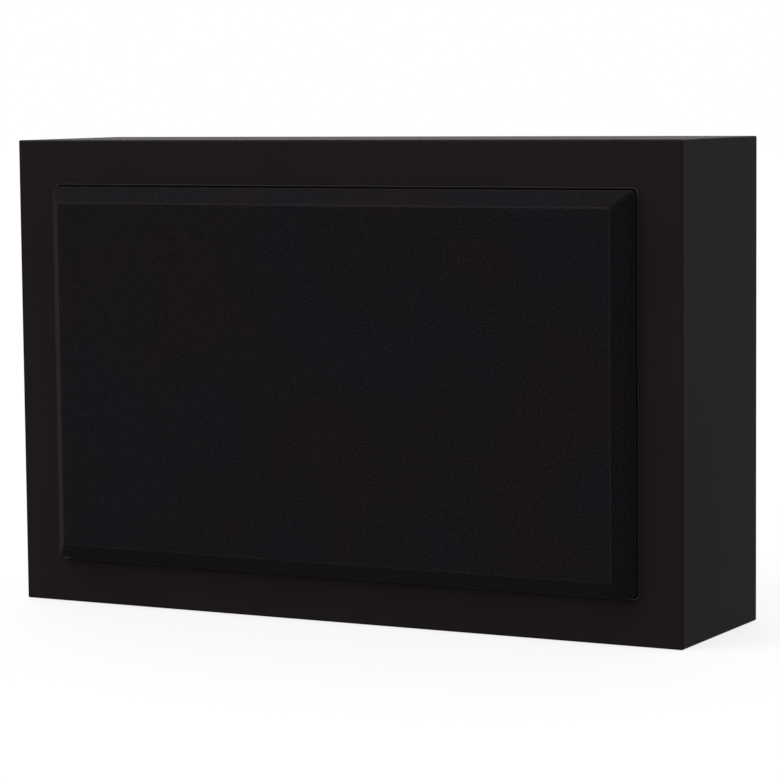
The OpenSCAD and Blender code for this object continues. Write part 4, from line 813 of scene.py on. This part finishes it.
# Moulded cores: plain white and plain red plastic, half glossy.
clouds_per_metre = 900.0
socket_core, tree, surface, place = new_material("moulded_socket_core")
axes = add(tree, "SeparateXYZ", inputs={0: place})
right = add(tree, "Math", {"operation": "GREATER_THAN"}, {
    0: axes.outputs["X"], 1: (sockets_low.x + sockets_high.x) / 2})
cloud = add(tree, "TexNoise", inputs={
    "Vector": place, "Scale": clouds_per_metre, "Detail": 2.0})
pair = add(tree, "Mix", {"data_type": "RGBA"}, {
    0: right, 6: linear("#dddcd6"), 7: linear("#a3161a")})
shade = add(tree, "MapRange", inputs={"Value": cloud, "To Min": 0.86, "To Max": 1.0})
toned = add(tree, "Mix", {"data_type": "RGBA", "blend_type": "MULTIPLY"}, {
    0: 1.0, 6: pair.outputs[2], 7: shade})
tree.links.new(toned.outputs[2], surface.inputs["Base Color"])
tree.links.new(add(tree, "MapRange", inputs={
    "Value": cloud, "To Min": 0.28, "To Max": 0.4}).outputs[0], surface.inputs["Roughness"])
dress(socket_core, "audio_sockets")


# ---- Leads to the driver
# Two leads of stranded copper, one red and the other black, run from the control board through
# the brace's window to the tags on the driver.

# Soft vinyl: an even colour with a soft, slightly wavy shine.
between_leads_z = -0.1215
ripples_per_metre = 600.0
vinyl, tree, surface, place = new_material("soft_vinyl_insulation")
axes = add(tree, "SeparateXYZ", inputs={0: place})
upper = add(tree, "Math", {"operation": "GREATER_THAN"}, {0: axes.outputs["Z"], 1: between_leads_z})
ripple = add(tree, "TexNoise", inputs={
    "Vector": place, "Scale": ripples_per_metre, "Detail": 2.0})
pair = add(tree, "Mix", {"data_type": "RGBA"}, {
    0: upper, 6: linear("#141414"), 7: linear("#7d1a1a")})
tree.links.new(pair.outputs[2], surface.inputs["Base Color"])
tree.links.new(add(tree, "MapRange", inputs={
    "Value": ripple, "To Min": 0.3, "To Max": 0.45}).outputs[0], surface.inputs["Roughness"])
tree.links.new(add(tree, "Bump", inputs={
    "Strength": 0.4, "Distance": 0.00004, "Height": ripple}).outputs[0], surface.inputs["Normal"])
dress(vinyl, "speaker_leads")


# ---- Wadding
# A loose batt of white polyester fibre pushed in against the end of the box. Its faces are
# soft and uneven, and its edges are round.
wad_low, wad_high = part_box("damping_wadding")
wad_middle = np.array(wad_low + wad_high) / 2
wad_clear = 0.0012
wad_half = np.array(wad_high - wad_low) / 2 - wad_clear
polar, round_about = np.meshgrid(
    np.linspace(-math.pi / 2, math.pi / 2, 61),
    np.linspace(-math.pi, math.pi, 97)[:-1], indexing="ij")


def powered(values, power):
    """Keeps the sign and raises the size to a power."""
    return np.sign(values) * np.abs(values) ** power


# Superellipsoid: each of cosine and sine is raised to a small power, which squares it off. Three
# sine waves that run through it aslant, each with its direction and phase, then dent it.
squareness, unevenness = 0.28, 0.035
slant_waves = (((310, 190, 90), 0.7), ((-130, 270, 150), 2.1), ((90, -160, 230), 4.0))
batt = np.stack([
    powered(np.cos(polar), squareness) * powered(np.cos(round_about), squareness),
    powered(np.cos(polar), squareness) * powered(np.sin(round_about), squareness),
    powered(np.sin(polar), squareness)], -1).reshape(-1, 3) * wad_half
waves = sum(np.sin(batt @ direction + phase) for direction, phase in slant_waves) / 3
batt *= 1 - unevenness * (waves[:, None] + 1)
batt_points = batt + wad_middle

# Polyester fibre: white and very matt, in tangled strands that shade one another.
strands_per_metre = 420.0
fibre_batt, tree, surface, place = new_material("polyester_fibre_batt")
strand_place = add(tree, "Mapping", inputs={"Vector": place, "Scale": (1.0, 1.0, 0.3)})
strands = add(tree, "TexNoise", inputs={
    "Vector": strand_place, "Scale": strands_per_metre, "Detail": 6.0, "Roughness": 0.7,
    "Distortion": 1.6})
fibre = add(tree, "Mix", {"data_type": "RGBA"}, {
    0: strands, 6: linear("#b9b7b0"), 7: linear("#efeeea")})
tree.links.new(fibre.outputs[2], surface.inputs["Base Color"])
tree.links.new(add(tree, "Bump", inputs={
    "Strength": 0.9, "Distance": 0.0012, "Height": strands}).outputs[0], surface.inputs["Normal"])
surface.inputs["Roughness"].default_value = 0.95
surface.inputs["Specular IOR Level"].default_value = 0.15
surface.inputs["Sheen Weight"].default_value = 0.3

wadding = mesh_piece("wadding_batt", batt_points, grid_faces(*polar.shape, wrap=True), fibre_batt)
shape = bmesh.new()
shape.from_mesh(wadding.data)
bmesh.ops.remove_doubles(shape, verts=shape.verts, dist=1e-6)
bmesh.ops.recalc_face_normals(shape, faces=shape.faces)
shape.to_mesh(wadding.data)
shape.free()
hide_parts("damping_wadding")
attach(wadding, "enclosure")
